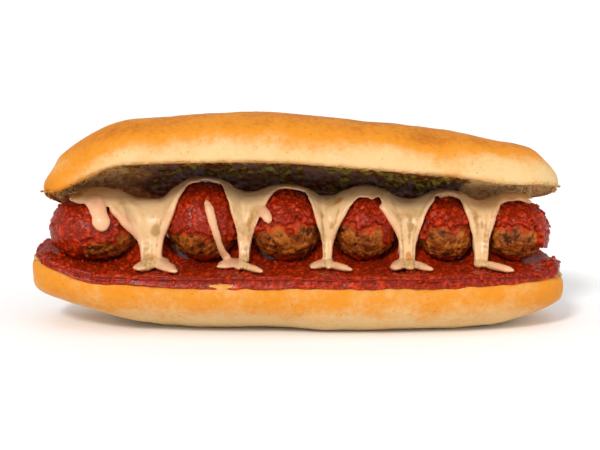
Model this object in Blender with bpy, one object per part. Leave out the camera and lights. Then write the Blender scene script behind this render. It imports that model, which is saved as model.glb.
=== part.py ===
"""A meatball submarine sandwich: a long soft roll in two halves, with six meatballs on a bed of
tomato sauce, a spoonful of sauce on each meatball, and melted cheese that hangs down between them.

Run with: blender --background --python part.py
Metres, +Z up. The origin is the middle of the flat base, +X runs along the roll, and -Y is the
open front. Every food is one closed body, sculpted from a UV sphere by a placing function.
"""

import math

import bmesh
import bpy
from mathutils import Vector, noise

MM = 0.001

# The roll
ROLL_WIDTH = 75.0 * MM
HEEL_LENGTH = 235.0 * MM
HEEL_HEIGHT = 25.2 * MM          # base to cut face, at the middle
HEEL_CURL = 7.8 * MM             # how far the left end curls up, round the first meatball
HEEL_NOSE = 7.0 * MM             # how far the tips of the heel are below its cut face
CROWN_LENGTH = 226.5 * MM
CROWN_SHIFT = 1.1 * MM           # the crown's middle, along X from the heel's
CROWN_HEIGHT = 31.0 * MM         # cut edges to the top of the crust
CROWN_REST = 61.5 * MM           # the crown's cut edges over the base, halfway between front and back
CROWN_TILT = math.radians(22.5)  # the crown's front edge is lifted, and its back edge is low
CROWN_EASE = math.radians(6.5)   # how much less it is tilted at its ends
CROWN_HOLLOW = 7.6 * MM          # how deep the crown is arched over the tallest meatball
CROWN_NOSE = 2.5 * MM            # how far the tips of the crown are above its cut face

# The filling
BED_DEPTH = 3.0 * MM             # tomato sauce on the heel
BED_LAP = 3.2 * MM               # how far the sauce hangs over the cut edge of the heel
BED_HEAP = 7.0 * MM              # the lump of sauce in front of the last meatball
BALL_SINK = 1.0 * MM             # how deep the meatballs stand in the sauce
CAP_DEPTH = 1.6 * MM             # sauce spooned over a meatball
CHEESE_DEPTH = 1.5 * MM
TOUCH = 0.35 * MM                # clear space between foods that touch
CURVED_TOUCH = 0.6 * MM          # the same between curved foods, which are faceted

# Each meatball: its place along the roll, its place across it, then its half sizes along X, Y, Z
MEATBALLS = [
    (-89.5 * MM, 0.5 * MM, 20.0 * MM, 17.3 * MM, 14.5 * MM),
    (-42.0 * MM, 0.0 * MM, 17.2 * MM, 17.4 * MM, 17.0 * MM),
    (-5.3 * MM, -0.8 * MM, 17.0 * MM, 16.9 * MM, 15.3 * MM),
    (29.6 * MM, 0.6 * MM, 15.7 * MM, 16.3 * MM, 15.0 * MM),
    (65.2 * MM, -0.3 * MM, 14.7 * MM, 15.9 * MM, 14.1 * MM),
    (95.6 * MM, 0.2 * MM, 15.1 * MM, 15.6 * MM, 13.3 * MM),
]

# Each cheese curtain, in the gap after a meatball: the half width of its neck, how far its
# shoulders reach to the left and to the right, and how high over the axis it bridges the gap
CURTAINS = [
    (5.6 * MM, 20.0 * MM, 16.0 * MM, 11.6 * MM),
    (2.8 * MM, 9.5 * MM, 13.5 * MM, 14.6 * MM),
    (2.6 * MM, 9.5 * MM, 11.0 * MM, 12.4 * MM),
    (3.8 * MM, 11.0 * MM, 14.0 * MM, 11.4 * MM),
    (3.3 * MM, 9.5 * MM, 10.0 * MM, 10.6 * MM),
]
# The front edge of the cheese over each meatball: how steeply up from the axis it lies
BROWS = [math.radians(angle) for angle in (42.0, 80.0, 74.0, 55.0, 72.0, 62.0)]
CHEESE_TOE = 6.0 * MM            # how far the foot of a curtain runs out over the sauce
CHEESE_FRONT = 11.4 * MM         # from the axis to the underside of a curtain, at the front

AXIS_HEIGHT = 42.5 * MM          # the level of the meatballs' middles, which the cheese is wrapped round
BED_TOP = HEEL_HEIGHT + TOUCH + BED_DEPTH
CHEESE_LEFT = MEATBALLS[0][0] - 13.0 * MM
CHEESE_RIGHT = MEATBALLS[-1][0] + 10.0 * MM
CHEESE_FOOT = -math.atan2(AXIS_HEIGHT - BED_TOP - 1.2 * MM, 12.5 * MM)


def smooth(value, low, high):
    """0 below low, 1 above high, and an S curve between them."""
    share = min(1.0, max(0.0, (value - low) / (high - low)))
    return share * share * (3.0 - 2.0 * share)


def power(value, exponent):
    """value to a power, with the sign kept."""
    return math.copysign(abs(value) ** exponent, value)


def wobble(x, y, z, size, seed):
    """Smooth noise from -1 to 1 whose bumps are about as large as size."""
    return noise.noise(Vector((x / size + seed, y / size - seed, z / size + 2.0 * seed)))


# ---- Blender helpers ----

def make_material(name, colour, roughness):
    material = bpy.data.materials.new(name)
    material.use_nodes = True
    shader = material.node_tree.nodes["Principled BSDF"]
    shader.inputs["Base Color"].default_value = (*colour, 1.0)
    shader.inputs["Roughness"].default_value = roughness
    return material


def add_body(name, mesh, material, collection):
    """An object called name from a bmesh, smooth shaded with its cut edges left sharp."""
    data = bpy.data.meshes.new(name)
    mesh.to_mesh(data)
    mesh.free()
    data.shade_smooth()
    data.set_sharp_from_angle(angle=math.radians(50.0))
    data.materials.append(material)
    body = bpy.data.objects.new(name, data)
    collection.objects.link(body)
    return body


def sculpt(segments, rings, place):
    """A UV sphere whose poles lie on X, each vertex moved to place(polar, turn).

    polar runs from 0 at the right tip to pi at the left one. turn goes round the X axis: 0 is the
    back, a quarter turn the top, half a turn the front.
    """
    mesh = bmesh.new()
    bmesh.ops.create_uvsphere(mesh, u_segments=segments, v_segments=rings, radius=1.0)
    for vertex in mesh.verts:
        polar = math.acos(max(-1.0, min(1.0, vertex.co.z)))
        turn = math.atan2(vertex.co.y, vertex.co.x) % (2.0 * math.pi)
        vertex.co = place(polar, turn)
    return mesh


# ---- the roll ----

def roll_plan(polar, blunt):
    """Where a ring lies along a half roll and how wide it is there, as shares of its half sizes."""
    along = power(math.cos(polar), 0.86)
    wide = max(0.0, math.sin(polar)) ** blunt
    return along, wide


def heel_rim(x):
    """The height of the heel's cut face. The left end curls up."""
    return HEEL_HEIGHT + HEEL_CURL * max(0.0, (-x - 86.0 * MM) / (29.0 * MM)) ** 1.5


def heel_floor(x):
    """The height of the underside, a little below the table where the base is flat."""
    left = 14.0 * MM * smooth(-x, 40.0 * MM, 138.0 * MM)
    right = 9.0 * MM * smooth(x, 84.0 * MM, 124.0 * MM)
    return left + right - 2.1 * MM


def heel_place(polar, turn, swell=0.0):
    """A point of the bottom half, or of the same form grown by swell at its sides and top."""
    along, wide = roll_plan(polar, 0.58)
    x = along * (HEEL_LENGTH / 2 + swell)
    half = wide * (ROLL_WIDTH / 2 + swell)
    rim, floor = heel_rim(x), heel_floor(x)
    nose = HEEL_NOSE * (1.0 - wide) ** 3
    y = half * power(math.cos(turn), 0.9)
    if math.sin(turn) >= 0.0:
        crumb = 0.35 * MM * wobble(x, y, 0.0, 11.0 * MM, 3.1) * wide
        return Vector((x, y, rim - nose + swell + crumb * math.sin(turn)))
    fall = abs(math.sin(turn)) ** 0.72
    bulge = 1.0 + 0.035 * math.sin(math.pi * fall)
    tuck = 0.3 * fall ** 3 * smooth(-x, -14.0 * MM, 6.0 * MM) * smooth(x, -84.0 * MM, -48.0 * MM)
    tuck *= 1.0 if y < 0.0 else 0.0
    uneven = 0.8 * MM * wobble(x, y, 0.0, 34.0 * MM, 7.7) * fall * wide
    z = rim - nose + swell * (1.0 - fall) - (rim - floor) * fall * wide ** 0.35 + uneven
    return Vector((x, y * (bulge - tuck), max(0.0, z)))


def crown_level(x):
    """The height of the crown's cut edges: it sags to the right, and the left end droops."""
    sag = 5.7 * MM * smooth(x, -25.0 * MM, 80.0 * MM) - 2.2 * MM * smooth(x, 84.0 * MM, 110.0 * MM)
    droop = 8.5 * MM * smooth(-x, 74.0 * MM, 116.0 * MM) - 3.0 * MM * smooth(-x, 105.0 * MM, 114.0 * MM)
    return CROWN_REST - sag - droop


def crown_tilt(x):
    """How far the crown is tipped back: less at its ends."""
    ease = smooth(x, 60.0 * MM, 110.0 * MM) + smooth(-x, 70.0 * MM, 106.0 * MM)
    return CROWN_TILT - CROWN_EASE * ease


def crown_place(polar, turn):
    """A point of the top half, tilted so that its front edge is lifted. Its underside is arched."""
    along, wide = roll_plan(polar, 0.54)
    x = CROWN_SHIFT + along * CROWN_LENGTH / 2
    half = wide * ROLL_WIDTH / 2
    rise = CROWN_HEIGHT * wide ** (0.92 if x < CROWN_SHIFT else 1.1)
    rise *= 1.0 - 0.5 * smooth(-x, 104.0 * MM, 114.0 * MM) - 0.3 * smooth(x, 100.0 * MM, 116.0 * MM)
    tilt = crown_tilt(x)
    y = half * power(math.cos(turn), 0.92)
    nose = CROWN_NOSE * (1.0 - wide) ** 3
    if math.sin(turn) >= 0.0:
        dome = math.sin(turn) ** 0.86
        z = rise * dome + 0.9 * MM * wobble(x, y, 0.0, 38.0 * MM, 1.3) * dome * wide
    else:
        arch = CROWN_HOLLOW - 1.4 * MM * smooth(x, -20.0 * MM, 60.0 * MM)
        crumb = 0.4 * MM * wobble(x, y, 0.0, 10.0 * MM, 5.9)
        z = (arch + crumb) * (1.0 - power(abs(math.cos(turn)), 1.84)) * wide
    return Vector((
        x,
        y * math.cos(tilt) + z * math.sin(tilt),
        crown_level(x) + nose + z * math.cos(tilt) - y * math.sin(tilt),
    ))


# ---- the filling ----

def ball_middle(ball):
    along, across, half_x, half_y, half_z = ball
    return Vector((along, across, BED_TOP - BALL_SINK + half_z))


def ball_surface(ball, direction, grow=0.0):
    """The point of a meatball that lies in a direction from its middle. It is lumpy, inwards only."""
    along, across, half_x, half_y, half_z = ball
    lump = 0.5 + 0.5 * wobble(direction.x + along * 40.0, direction.y, direction.z, 0.55, 2.0)
    size = 1.0 - 0.045 * lump
    return ball_middle(ball) + Vector((
        direction.x * (half_x * size + grow),
        direction.y * (half_y * size + grow),
        direction.z * (half_z * size + grow),
    ))


def direction_of(polar, turn):
    """A direction that leans polar away from straight up, towards turn, where 0 is +X."""
    return Vector((math.sin(polar) * math.cos(turn), math.sin(polar) * math.sin(turn), math.cos(polar)))


def meatball_mesh(ball, grow=0.0, segments=16, rings=10):
    mesh = bmesh.new()
    bmesh.ops.create_uvsphere(mesh, u_segments=segments, v_segments=rings, radius=1.0)
    for vertex in mesh.verts:
        vertex.co = ball_surface(ball, vertex.co.normalized(), grow)
    return mesh


def cap_edge(ball, turn):
    """How far down the sauce cap reaches, as an angle from the top: less where a neighbour is near."""
    beside = math.cos(turn) ** 2
    ragged = math.radians(9.0) * wobble(math.cos(turn), math.sin(turn), ball[0] * 50.0, 0.45, 4.0)
    return math.radians(88.0 - 26.0 * beside) + ragged


def cap_mesh(ball, segments=18, rings=8):
    """The sauce on one meatball: a sphere whose lower half is folded up inside its upper half."""
    mesh = bmesh.new()
    bmesh.ops.create_uvsphere(mesh, u_segments=segments, v_segments=rings, radius=1.0)
    for vertex in mesh.verts:
        polar = math.acos(max(-1.0, min(1.0, vertex.co.z)))
        turn = math.atan2(vertex.co.y, vertex.co.x)
        inside = polar > math.pi / 2
        share = (math.pi - polar if inside else polar) / (math.pi / 2)
        direction = direction_of(share * cap_edge(ball, turn), turn)
        lump = 0.8 + 0.35 * wobble(direction.x, direction.y, ball[0] * 30.0, 0.5, 6.0)
        depth = 0.0 if inside else CAP_DEPTH * lump
        if abs(share - 1.0) < 1e-4:
            depth = 0.4 * CAP_DEPTH
        vertex.co = ball_surface(ball, direction, CURVED_TOUCH + depth)
    return mesh


def bed_place(polar, turn):
    """A point of the sauce bed. It lies on the heel's cut face and laps over the edges, and its ends taper.

    The upper half of the sphere is the top of the sauce, and the lower half is its underside.
    """
    reach = math.sqrt(max(0.0, math.sin(polar)))
    ring = 0.07 * math.pi + polar * 0.86
    across = -math.cos(turn)                 # -1 at the back edge, 1 at the front one
    x = roll_plan(ring, 0.58)[0] * HEEL_LENGTH / 2
    lap = BED_LAP * (0.95 + 0.45 * wobble(x, across, 0.0, 15.0 * MM, 9.0)) * reach ** 0.5
    past = lap / (HEEL_HEIGHT * 2.2)         # the same, as part of a turn round the heel's section
    swing = (math.pi / 2 + past) * across * reach
    depth = BED_DEPTH * (0.9 + 0.18 * wobble(x, across * 30.0 * MM, 0.0, 13.0 * MM, 8.0))
    rounded = math.copysign(abs(math.sin(turn)) ** 0.5 * reach, math.sin(turn))
    swell = TOUCH + depth * (0.5 + 0.5 * rounded)
    point = heel_place(ring, (math.pi / 2 + swing) % (2.0 * math.pi), swell)
    heap = smooth(x, 104.0 * MM, 111.0 * MM) * smooth(across, -0.4, 0.4)
    point.z += BED_HEAP * heap * max(0.0, rounded)
    return point


def cut_by_meatballs(body):
    """Takes the room that the meatballs need out of a body, for good."""
    cutters = bpy.data.collections.new("cutters")
    for ball in MEATBALLS:
        data = bpy.data.meshes.new("cutter")
        mesh = meatball_mesh(ball, CURVED_TOUCH)
        mesh.to_mesh(data)
        mesh.free()
        cutters.objects.link(bpy.data.objects.new("cutter", data))
    cut = body.modifiers.new("meatballs", "BOOLEAN")
    cut.operation = "DIFFERENCE"
    cut.operand_type = "COLLECTION"
    cut.collection = cutters
    bpy.context.view_layer.update()
    evaluated = body.evaluated_get(bpy.context.evaluated_depsgraph_get())
    body.data = bpy.data.meshes.new_from_object(evaluated)
    body.modifiers.clear()
    for cutter in list(cutters.objects):
        bpy.data.objects.remove(cutter)
    bpy.data.collections.remove(cutters)


def ball_reach(x, rise):
    """How far the meatballs with their sauce reach from the cheese's axis, at x and an angle up from the front."""
    farthest = 0.0
    for ball in MEATBALLS:
        middle = ball_middle(ball)
        grow = CURVED_TOUCH * 2 + CAP_DEPTH * 1.15
        half_x, half_y, half_z = (size + grow for size in ball[2:])
        slice_share = 1.0 - ((x - middle.x) / half_x) ** 2
        if slice_share <= 0.0:
            continue
        step_y, step_z = -math.cos(rise), math.sin(rise)
        start_y, start_z = -middle.y, AXIS_HEIGHT - middle.z
        square = (step_y / half_y) ** 2 + (step_z / half_z) ** 2
        cross = start_y * step_y / half_y ** 2 + start_z * step_z / half_z ** 2
        rest = (start_y / half_y) ** 2 + (start_z / half_z) ** 2 - slice_share
        inside = cross * cross - square * rest
        if inside > 0.0:
            farthest = max(farthest, (math.sqrt(inside) - cross) / square)
    return farthest


def cheese_reach(x, rise):
    """How far the underside of the cheese is from its axis: over the meatballs, and bridging the gaps."""
    bridge = CHEESE_FRONT
    if rise < 0.0:
        bridge /= math.cos(rise)
    elif rise > math.pi:
        bridge /= math.cos(rise - math.pi)
    else:
        top = cheese_top(x)
        bridge *= top / math.hypot(top * math.cos(rise), CHEESE_FRONT * math.sin(rise))
    blend = 2.0 * MM
    near = ball_reach(x, rise)
    return 0.5 * (near + bridge + math.sqrt((near - bridge) ** 2 + blend ** 2))


def cheese_gaps():
    """The middle of the gap between each meatball and the next."""
    return [
        (ball[0] + ball[2] + following[0] - following[2]) / 2
        for ball, following in zip(MEATBALLS, MEATBALLS[1:])
    ]


def cheese_stations():
    """Where the rings of the cheese lie along X. They are closest at the edges of the curtains."""
    stations = [CHEESE_LEFT + inset for inset in (0.0, 2.0 * MM, 5.0 * MM, 10.0 * MM)]
    for gap, (neck, left, right, _) in zip(cheese_gaps(), CURTAINS):
        for share in (1.0, 0.65, 0.32, 0.06, 0.0):
            stations.append(gap - neck - (left - neck) * share)
        for share in (0.0, 0.06, 0.32, 0.65, 1.0):
            stations.append(gap + neck + (right - neck) * share)
    return stations + [CHEESE_RIGHT - inset for inset in (8.0 * MM, 4.0 * MM, 1.5 * MM, 0.0)]


def ease_along(x, places, values):
    """A size at x that eases from its value at one place to its value at the next."""
    for start, end, low, high in zip(places, places[1:], values, values[1:]):
        if x <= end:
            return low + (high - low) * smooth(x, start, end)
    return values[-1]


def cheese_top(x):
    """How high over the axis the cheese bridges the gaps."""
    return ease_along(x, cheese_gaps(), [curtain[3] for curtain in CURTAINS])


def cheese_brow(x):
    """The angle of the cheese's front edge between the curtains."""
    return ease_along(x, [CHEESE_LEFT] + [ball[0] for ball in MEATBALLS], [math.radians(78.0)] + BROWS)


def cheese_edge(x, foot, brow):
    """The angle of the cheese's edge: down at the sauce in a curtain, and up at its brow over a meatball."""
    share = 1.0
    for gap, (neck, left, right, _) in zip(cheese_gaps(), CURTAINS):
        shoulder = left if x < gap else right
        away = min(1.0, max(0.0, (abs(x - gap) - neck) / (shoulder - neck)))
        share = min(share, 0.3 * min(1.0, away / 0.06) + 0.7 * away ** 1.15)
    return foot + (brow - foot) * share


def cheese_place(polar, turn):
    """A point of the cheese: the sphere's upper half is its outside, and its lower half its underside."""
    stations = cheese_stations()
    x = stations[round((1.0 - polar / math.pi) * (len(stations) - 1))]
    reach = min(1.0, (x - CHEESE_LEFT) / (9.0 * MM), (CHEESE_RIGHT - x) / (9.0 * MM)) ** 0.6
    front = cheese_edge(x, CHEESE_FOOT, cheese_brow(x))
    back = math.pi - cheese_edge(x, CHEESE_FOOT * 0.6, math.radians(58.0))
    middle, swing = (front + back) / 2, (back - front) / 2 * reach
    rise = middle + swing * math.cos(turn)
    rounded = abs(math.sin(turn)) ** 0.5 * reach
    depth = CHEESE_DEPTH * (0.5 + 0.5 * math.copysign(rounded, math.sin(turn)))
    if math.sin(turn) > 0.0:
        depth += CHEESE_TOE * smooth(-rise, -CHEESE_FOOT * 0.3, -CHEESE_FOOT * 0.8)
    radius = cheese_reach(x, rise) + depth
    if rise < 0.0:
        radius = min(radius, (AXIS_HEIGHT - BED_TOP - 0.9 * MM) / math.sin(-rise))
    return Vector((x, -radius * math.cos(rise), AXIS_HEIGHT + radius * math.sin(rise)))


def build():
    for old in list(bpy.data.objects):
        bpy.data.objects.remove(old, do_unlink=True)
    sandwich = bpy.data.collections.new("submarine_sandwich")
    bpy.context.scene.collection.children.link(sandwich)

    crust = make_material("crust", (0.83, 0.46, 0.14), 0.5)
    tomato = make_material("tomato_sauce", (0.50, 0.06, 0.02), 0.3)
    meat = make_material("browned_meat", (0.33, 0.12, 0.05), 0.55)
    cheese = make_material("melted_cheese", (0.86, 0.74, 0.52), 0.35)

    add_body("bottom_bun", sculpt(28, 24, heel_place), crust, sandwich)
    add_body("top_bun", sculpt(28, 24, crown_place), crust, sandwich)
    bed = add_body("sauce_bed", sculpt(20, 32, bed_place), tomato, sandwich)
    cut_by_meatballs(bed)
    for number, ball in enumerate(MEATBALLS, start=1):
        add_body(f"meatball_{number}", meatball_mesh(ball), meat, sandwich)
        add_body(f"sauce_cap_{number}", cap_mesh(ball), tomato, sandwich)
    add_body("cheese", sculpt(18, len(cheese_stations()) - 1, cheese_place), cheese, sandwich)


build()
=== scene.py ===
"""A meatball submarine sandwich: a soft roll in two halves, ground meatballs on a bed of tomato
sauce with more spooned over them, and melted cheese that hangs down between them.

Laid out as a Blender add-on and run as a script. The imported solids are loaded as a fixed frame,
and each operator makes the pieces that stand for some of them. Metres, +X along the roll, -Y the
open front, +Z up.
"""

import math

import bmesh
import bpy
import numpy as np
from bpy.props import FloatProperty, FloatVectorProperty, IntProperty, PointerProperty
from bpy.types import Operator, Panel, PropertyGroup
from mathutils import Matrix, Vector, noise


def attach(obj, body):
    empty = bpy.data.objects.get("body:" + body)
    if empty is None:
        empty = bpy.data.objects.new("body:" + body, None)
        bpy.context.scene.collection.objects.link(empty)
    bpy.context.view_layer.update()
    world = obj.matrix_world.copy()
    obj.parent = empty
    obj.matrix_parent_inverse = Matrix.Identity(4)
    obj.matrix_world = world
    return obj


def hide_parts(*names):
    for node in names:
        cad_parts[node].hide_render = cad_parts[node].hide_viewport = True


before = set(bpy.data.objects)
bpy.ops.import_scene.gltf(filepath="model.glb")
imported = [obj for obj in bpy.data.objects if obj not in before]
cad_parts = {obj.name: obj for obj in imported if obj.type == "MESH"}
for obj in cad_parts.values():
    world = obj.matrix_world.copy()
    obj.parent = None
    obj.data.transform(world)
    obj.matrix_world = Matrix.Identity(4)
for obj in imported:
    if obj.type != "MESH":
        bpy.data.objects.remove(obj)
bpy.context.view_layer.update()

bl_info = {
    "name": "Submarine sandwich",
    "version": (1, 0, 0),
    "blender": (4, 5, 0),
    "location": "3D View > Sidebar > Sandwich",
    "description": "Builds a meatball submarine sandwich over its packed solids",
    "category": "Object",
}

MM = 0.001

# The roll
ROLL_WIDTH = 75.0 * MM
HEEL_LENGTH = 235.0 * MM
HEEL_HEIGHT = 25.2 * MM
HEEL_CURL = 7.8 * MM
HEEL_NOSE = 7.0 * MM
HEEL_BLUNT = 0.58
CROWN_LENGTH = 226.5 * MM
CROWN_SHIFT = 1.1 * MM
CROWN_HEIGHT = 31.0 * MM
CROWN_REST = 61.5 * MM
CROWN_TILT = math.radians(22.5)
CROWN_EASE = math.radians(6.5)
CROWN_HOLLOW = 7.6 * MM
CROWN_NOSE = 2.5 * MM
CROWN_BLUNT = 0.54
PLAN_SQUARE = 0.86               # how square the roll's ends are in plan

# The filling
BED_DEPTH = 3.0 * MM
BED_LAP = 3.2 * MM
BED_HEAP = 7.0 * MM
BED_SHARE = 0.86                 # the share of the heel's rings that the sauce covers
BED_SOAK = 1.6 * MM              # how far the sauce sinks into the crumb
# The sauce that pooled between the meatballs, in each gap: its height and half width
MOUNDS = [(23.0 * MM, 9.0 * MM), (17.0 * MM, 6.5 * MM), (16.0 * MM, 6.5 * MM), (19.0 * MM, 7.5 * MM),
          (15.0 * MM, 6.5 * MM)]
BANK_HEIGHT = 4.5 * MM           # the sauce that gathered behind the meatballs
BED_ROUND = 1.7 * MM             # how far the edge of the sauce is rounded off
BED_TOP = HEEL_HEIGHT + 0.35 * MM + BED_DEPTH
BALL_SINK = 1.0 * MM
CAP_DEPTH = 1.6 * MM
CAP_TOUCH = 0.6 * MM             # between a meatball and the sauce on it
MEATBALLS = [
    (-89.5 * MM, 0.5 * MM, 20.0 * MM, 17.3 * MM, 14.5 * MM),
    (-42.0 * MM, 0.0 * MM, 17.2 * MM, 17.4 * MM, 17.0 * MM),
    (-5.3 * MM, -0.8 * MM, 17.0 * MM, 16.9 * MM, 15.3 * MM),
    (29.6 * MM, 0.6 * MM, 15.7 * MM, 16.3 * MM, 15.0 * MM),
    (65.2 * MM, -0.3 * MM, 14.7 * MM, 15.9 * MM, 14.1 * MM),
    (95.6 * MM, 0.2 * MM, 15.1 * MM, 15.6 * MM, 13.3 * MM),
]

# The cheese: for each gap, the half width of the curtain's neck, its reach to the left and to the
# right, and how high over the axis it bridges the gap
CURTAINS = [
    (4.6 * MM, 20.0 * MM, 17.0 * MM, 11.6 * MM),
    (2.2 * MM, 10.5 * MM, 14.5 * MM, 14.6 * MM),
    (2.0 * MM, 10.0 * MM, 12.0 * MM, 12.4 * MM),
    (3.3 * MM, 12.5 * MM, 14.0 * MM, 11.4 * MM),
    (3.0 * MM, 10.5 * MM, 10.0 * MM, 10.6 * MM),
]
BROWS = [math.radians(angle) for angle in (42.0, 80.0, 74.0, 55.0, 72.0, 62.0)]
AXIS_HEIGHT = 42.5 * MM
CHEESE_LEFT = MEATBALLS[0][0] - 13.0 * MM
CHEESE_RIGHT = MEATBALLS[-1][0] + 10.0 * MM
CHEESE_FOOT = -math.atan2(AXIS_HEIGHT - BED_TOP - 1.2 * MM, 12.5 * MM)
CHEESE_OVER = 2.2 * MM           # from a meatball to the underside of the cheese
CHEESE_TOE = 6.0 * MM
CHEESE_FUNNEL = 0.5              # how a curtain widens as it rises: 1 straight, less hollows its sides
CHEESE_FRONT = 11.4 * MM

# How far down each meatball the sauce comes at the front, as an angle from its top
SAUCE_REACH = [math.radians(angle) for angle in (100.0, 101.0, 80.0, 80.0, 82.0, 72.0)]
# Tongues of sauce that run farther down: meatball, direction round it, half width and how much farther
TONGUES = [
    (0, math.radians(-150.0), math.radians(48.0), math.radians(52.0)),
    (0, math.radians(150.0), math.radians(40.0), math.radians(30.0)),
    (1, math.radians(-40.0), math.radians(16.0), math.radians(26.0)),
    (2, math.radians(-150.0), math.radians(22.0), math.radians(24.0)),
    (3, math.radians(-48.0), math.radians(13.0), math.radians(46.0)),
    (4, math.radians(-140.0), math.radians(14.0), math.radians(22.0)),
    (5, math.radians(-22.0), math.radians(30.0), math.radians(48.0)),
    (5, math.radians(30.0), math.radians(30.0), math.radians(30.0)),
]
# Strands and drips of cheese: points of (x, angle up from the front, half width)
STRANDS = [
    [(-91.5, 64.0, 5.0), (-88.5, 46.0, 4.6), (-86.4, 28.0, 4.0), (-85.2, 14.0, 3.8), (-84.8, 4.0, 3.7)],
    [(-80.0, 50.0, 3.2), (-77.5, 34.0, 2.6), (-76.0, 22.0, 2.0)],
    [(-100.0, 76.0, 3.0), (-96.0, 62.0, 3.6), (-93.5, 48.0, 3.2)],
    [(-40.2, 46.0, 1.0), (-38.6, 34.0, 2.2), (-37.0, 16.0, 2.0), (-35.4, 0.0, 1.7), (-34.0, -18.0, 1.6),
     (-32.6, -34.0, 1.9), (-31.0, -46.0, 2.4)],
    [(-19.0, 54.0, 2.6), (-16.4, 40.0, 2.5), (-13.8, 26.0, 2.2), (-12.2, 15.0, 1.7)],
    [(36.0, 50.0, 1.9), (39.5, 34.0, 2.0), (42.0, 16.0, 1.6), (43.5, 0.0, 1.2)],
    [(84.0, 54.0, 1.5), (89.0, 66.0, 1.6), (96.0, 72.0, 1.4), (103.0, 62.0, 1.0)],
    [(62.0, 74.0, 1.4), (67.0, 82.0, 1.6), (73.0, 70.0, 1.8)],
]
# Where the cheese lies on the sauce: middle (x, y), half sizes (x, y), thickness and heading in degrees
FEET = [
    (-65.5, -19.0, 4.6, 13.0, 2.2, -16.0), (-58.6, -21.0, 4.2, 14.0, 2.0, 24.0), (-62.0, -15.0, 6.0, 7.0, 2.5, 0.0),
    (-30.0, -17.0, 4.6, 9.0, 1.8, -24.0), (-25.5, -18.0, 3.2, 9.0, 1.8, 0.0), (-21.5, -25.0, 2.6, 10.5, 1.7, 34.0),
    (9.8, -18.0, 3.4, 9.0, 1.8, -26.0), (13.4, -17.5, 2.8, 8.0, 1.9, 0.0), (17.2, -23.0, 2.7, 10.0, 1.7, 36.0),
    (44.5, -18.5, 3.6, 10.5, 1.9, -20.0), (48.2, -18.0, 3.6, 9.0, 2.0, 0.0), (52.0, -21.0, 3.0, 10.5, 1.8, 30.0),
    (79.8, -15.5, 3.0, 7.5, 1.8, -10.0), (84.8, -22.5, 2.6, 12.5, 1.8, 38.0),
]
# Thin patches and oily spots in the curtains: x, angle up from the front, half width, half angle, oiliness
PATCHES = [
    (-62.5, 4.0, 2.2, 17.0, 0.35), (-63.5, -36.0, 1.5, 6.0, 1.0), (-21.6, 17.0, 1.5, 9.0, 0.7),
    (14.5, 14.0, 1.3, 8.0, 0.7), (49.2, 12.0, 1.6, 15.0, 0.35), (48.2, -34.0, 1.6, 7.0, 1.0),
    (80.6, 14.0, 1.2, 8.0, 0.7), (-97.0, 62.0, 3.0, 10.0, 0.6), (17.5, 60.0, 2.6, 9.0, 0.9),
]


# ---- settings ----

def tint(name, note, colour):
    return FloatVectorProperty(
        name=name, description=note, default=colour, subtype="COLOR", size=3, min=0.0, max=1.0)


def length(name, note, value):
    return FloatProperty(
        name=name, description=note, default=value, min=0.0, unit="LENGTH", precision=5)


def number(name, note, value):
    return FloatProperty(name=name, description=note, default=value, min=0.0)


class BreadSettings(PropertyGroup):
    """Colours and relief of the roll."""

    pale: tint("Pale crust", "Crust that the oven hardly browned", (0.66, 0.45, 0.205))
    golden: tint("Golden crust", "Crust of a middling bake", (0.66, 0.235, 0.016))
    brown: tint("Brown crust", "The darkest crust", (0.40, 0.105, 0.006))
    crumb: tint("Crumb", "The clean cut crumb", (0.62, 0.40, 0.17))
    toasted: tint("Toasted crumb", "Crumb browned by the grill", (0.34, 0.125, 0.018))
    # This crumb colour is partly sauce and herb stains and partly painted shade under the top half.
    soaked: tint("Soaked crumb", "Crumb dark with herbs, oil and juices", (0.12, 0.028, 0.004))
    dent: length("Dents", "Depth of the broad dents in the crust", 0.55 * MM)
    wrinkle: length("Wrinkles", "Depth of the fine wrinkles in the crust", 0.12 * MM)
    pore: length("Pores", "Depth of the pores in the crumb", 0.8 * MM)


class SauceSettings(PropertyGroup):
    """Colours and relief of the tomato sauce."""

    # Painted shade: the colour given to the sauce's hollows; the tomato bits also take it as their dark tone.
    deep: tint("Deep", "Sauce in the hollows", (0.20, 0.010, 0.001))
    red: tint("Red", "The body of the sauce", (0.47, 0.028, 0.003))
    # Painted highlight on the lit tops of the lumps, partly also thinner sauce.
    bright: tint("Bright", "Thin, lit sauce on the lumps", (0.70, 0.100, 0.014))
    lump_size: length("Lump size", "How far apart the lumps of pulp are", 3.4 * MM)
    lump_height: length("Lump height", "How high the lumps of pulp stand", 1.1 * MM)
    bits: number("Bits", "Loose bits of tomato for each square metre", 16000.0)
    herbs: number("Herbs", "Herb flecks for each square metre", 60000.0)


class MeatSettings(PropertyGroup):
    """Colours and relief of the meatballs."""

    # Painted shade: the dark put into the crevices between the grains.
    crevice: tint("Crevices", "The dark of the crevices", (0.050, 0.011, 0.002))
    brown: tint("Browned", "Browned ground meat", (0.21, 0.040, 0.005))
    tan: tint("Tan", "Crumbs and lighter meat", (0.40, 0.115, 0.014))
    grain_size: length("Grain size", "How far apart the grains of meat are", 3.6 * MM)
    grain_height: length("Grain height", "How high the grains stand", 1.3 * MM)


class CheeseSettings(PropertyGroup):
    """Colours and build of the melted cheese."""

    cream: tint("Cream", "Thick melted cheese", (0.74, 0.475, 0.235))
    thin: tint("Thin", "Stretched cheese that lets light through", (0.40, 0.225, 0.060))
    blush: tint("Blush", "Cheese stained by the sauce under it", (0.72, 0.375, 0.215))
    depth: length("Depth", "Thickness of the sheet of cheese", 1.5 * MM)
    voxel: length("Voxel", "Grain of the mesh that joins sheet and drips", 0.6 * MM)
    crease: length("Creases", "Depth of the creases down the curtains", 0.35 * MM)


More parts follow.
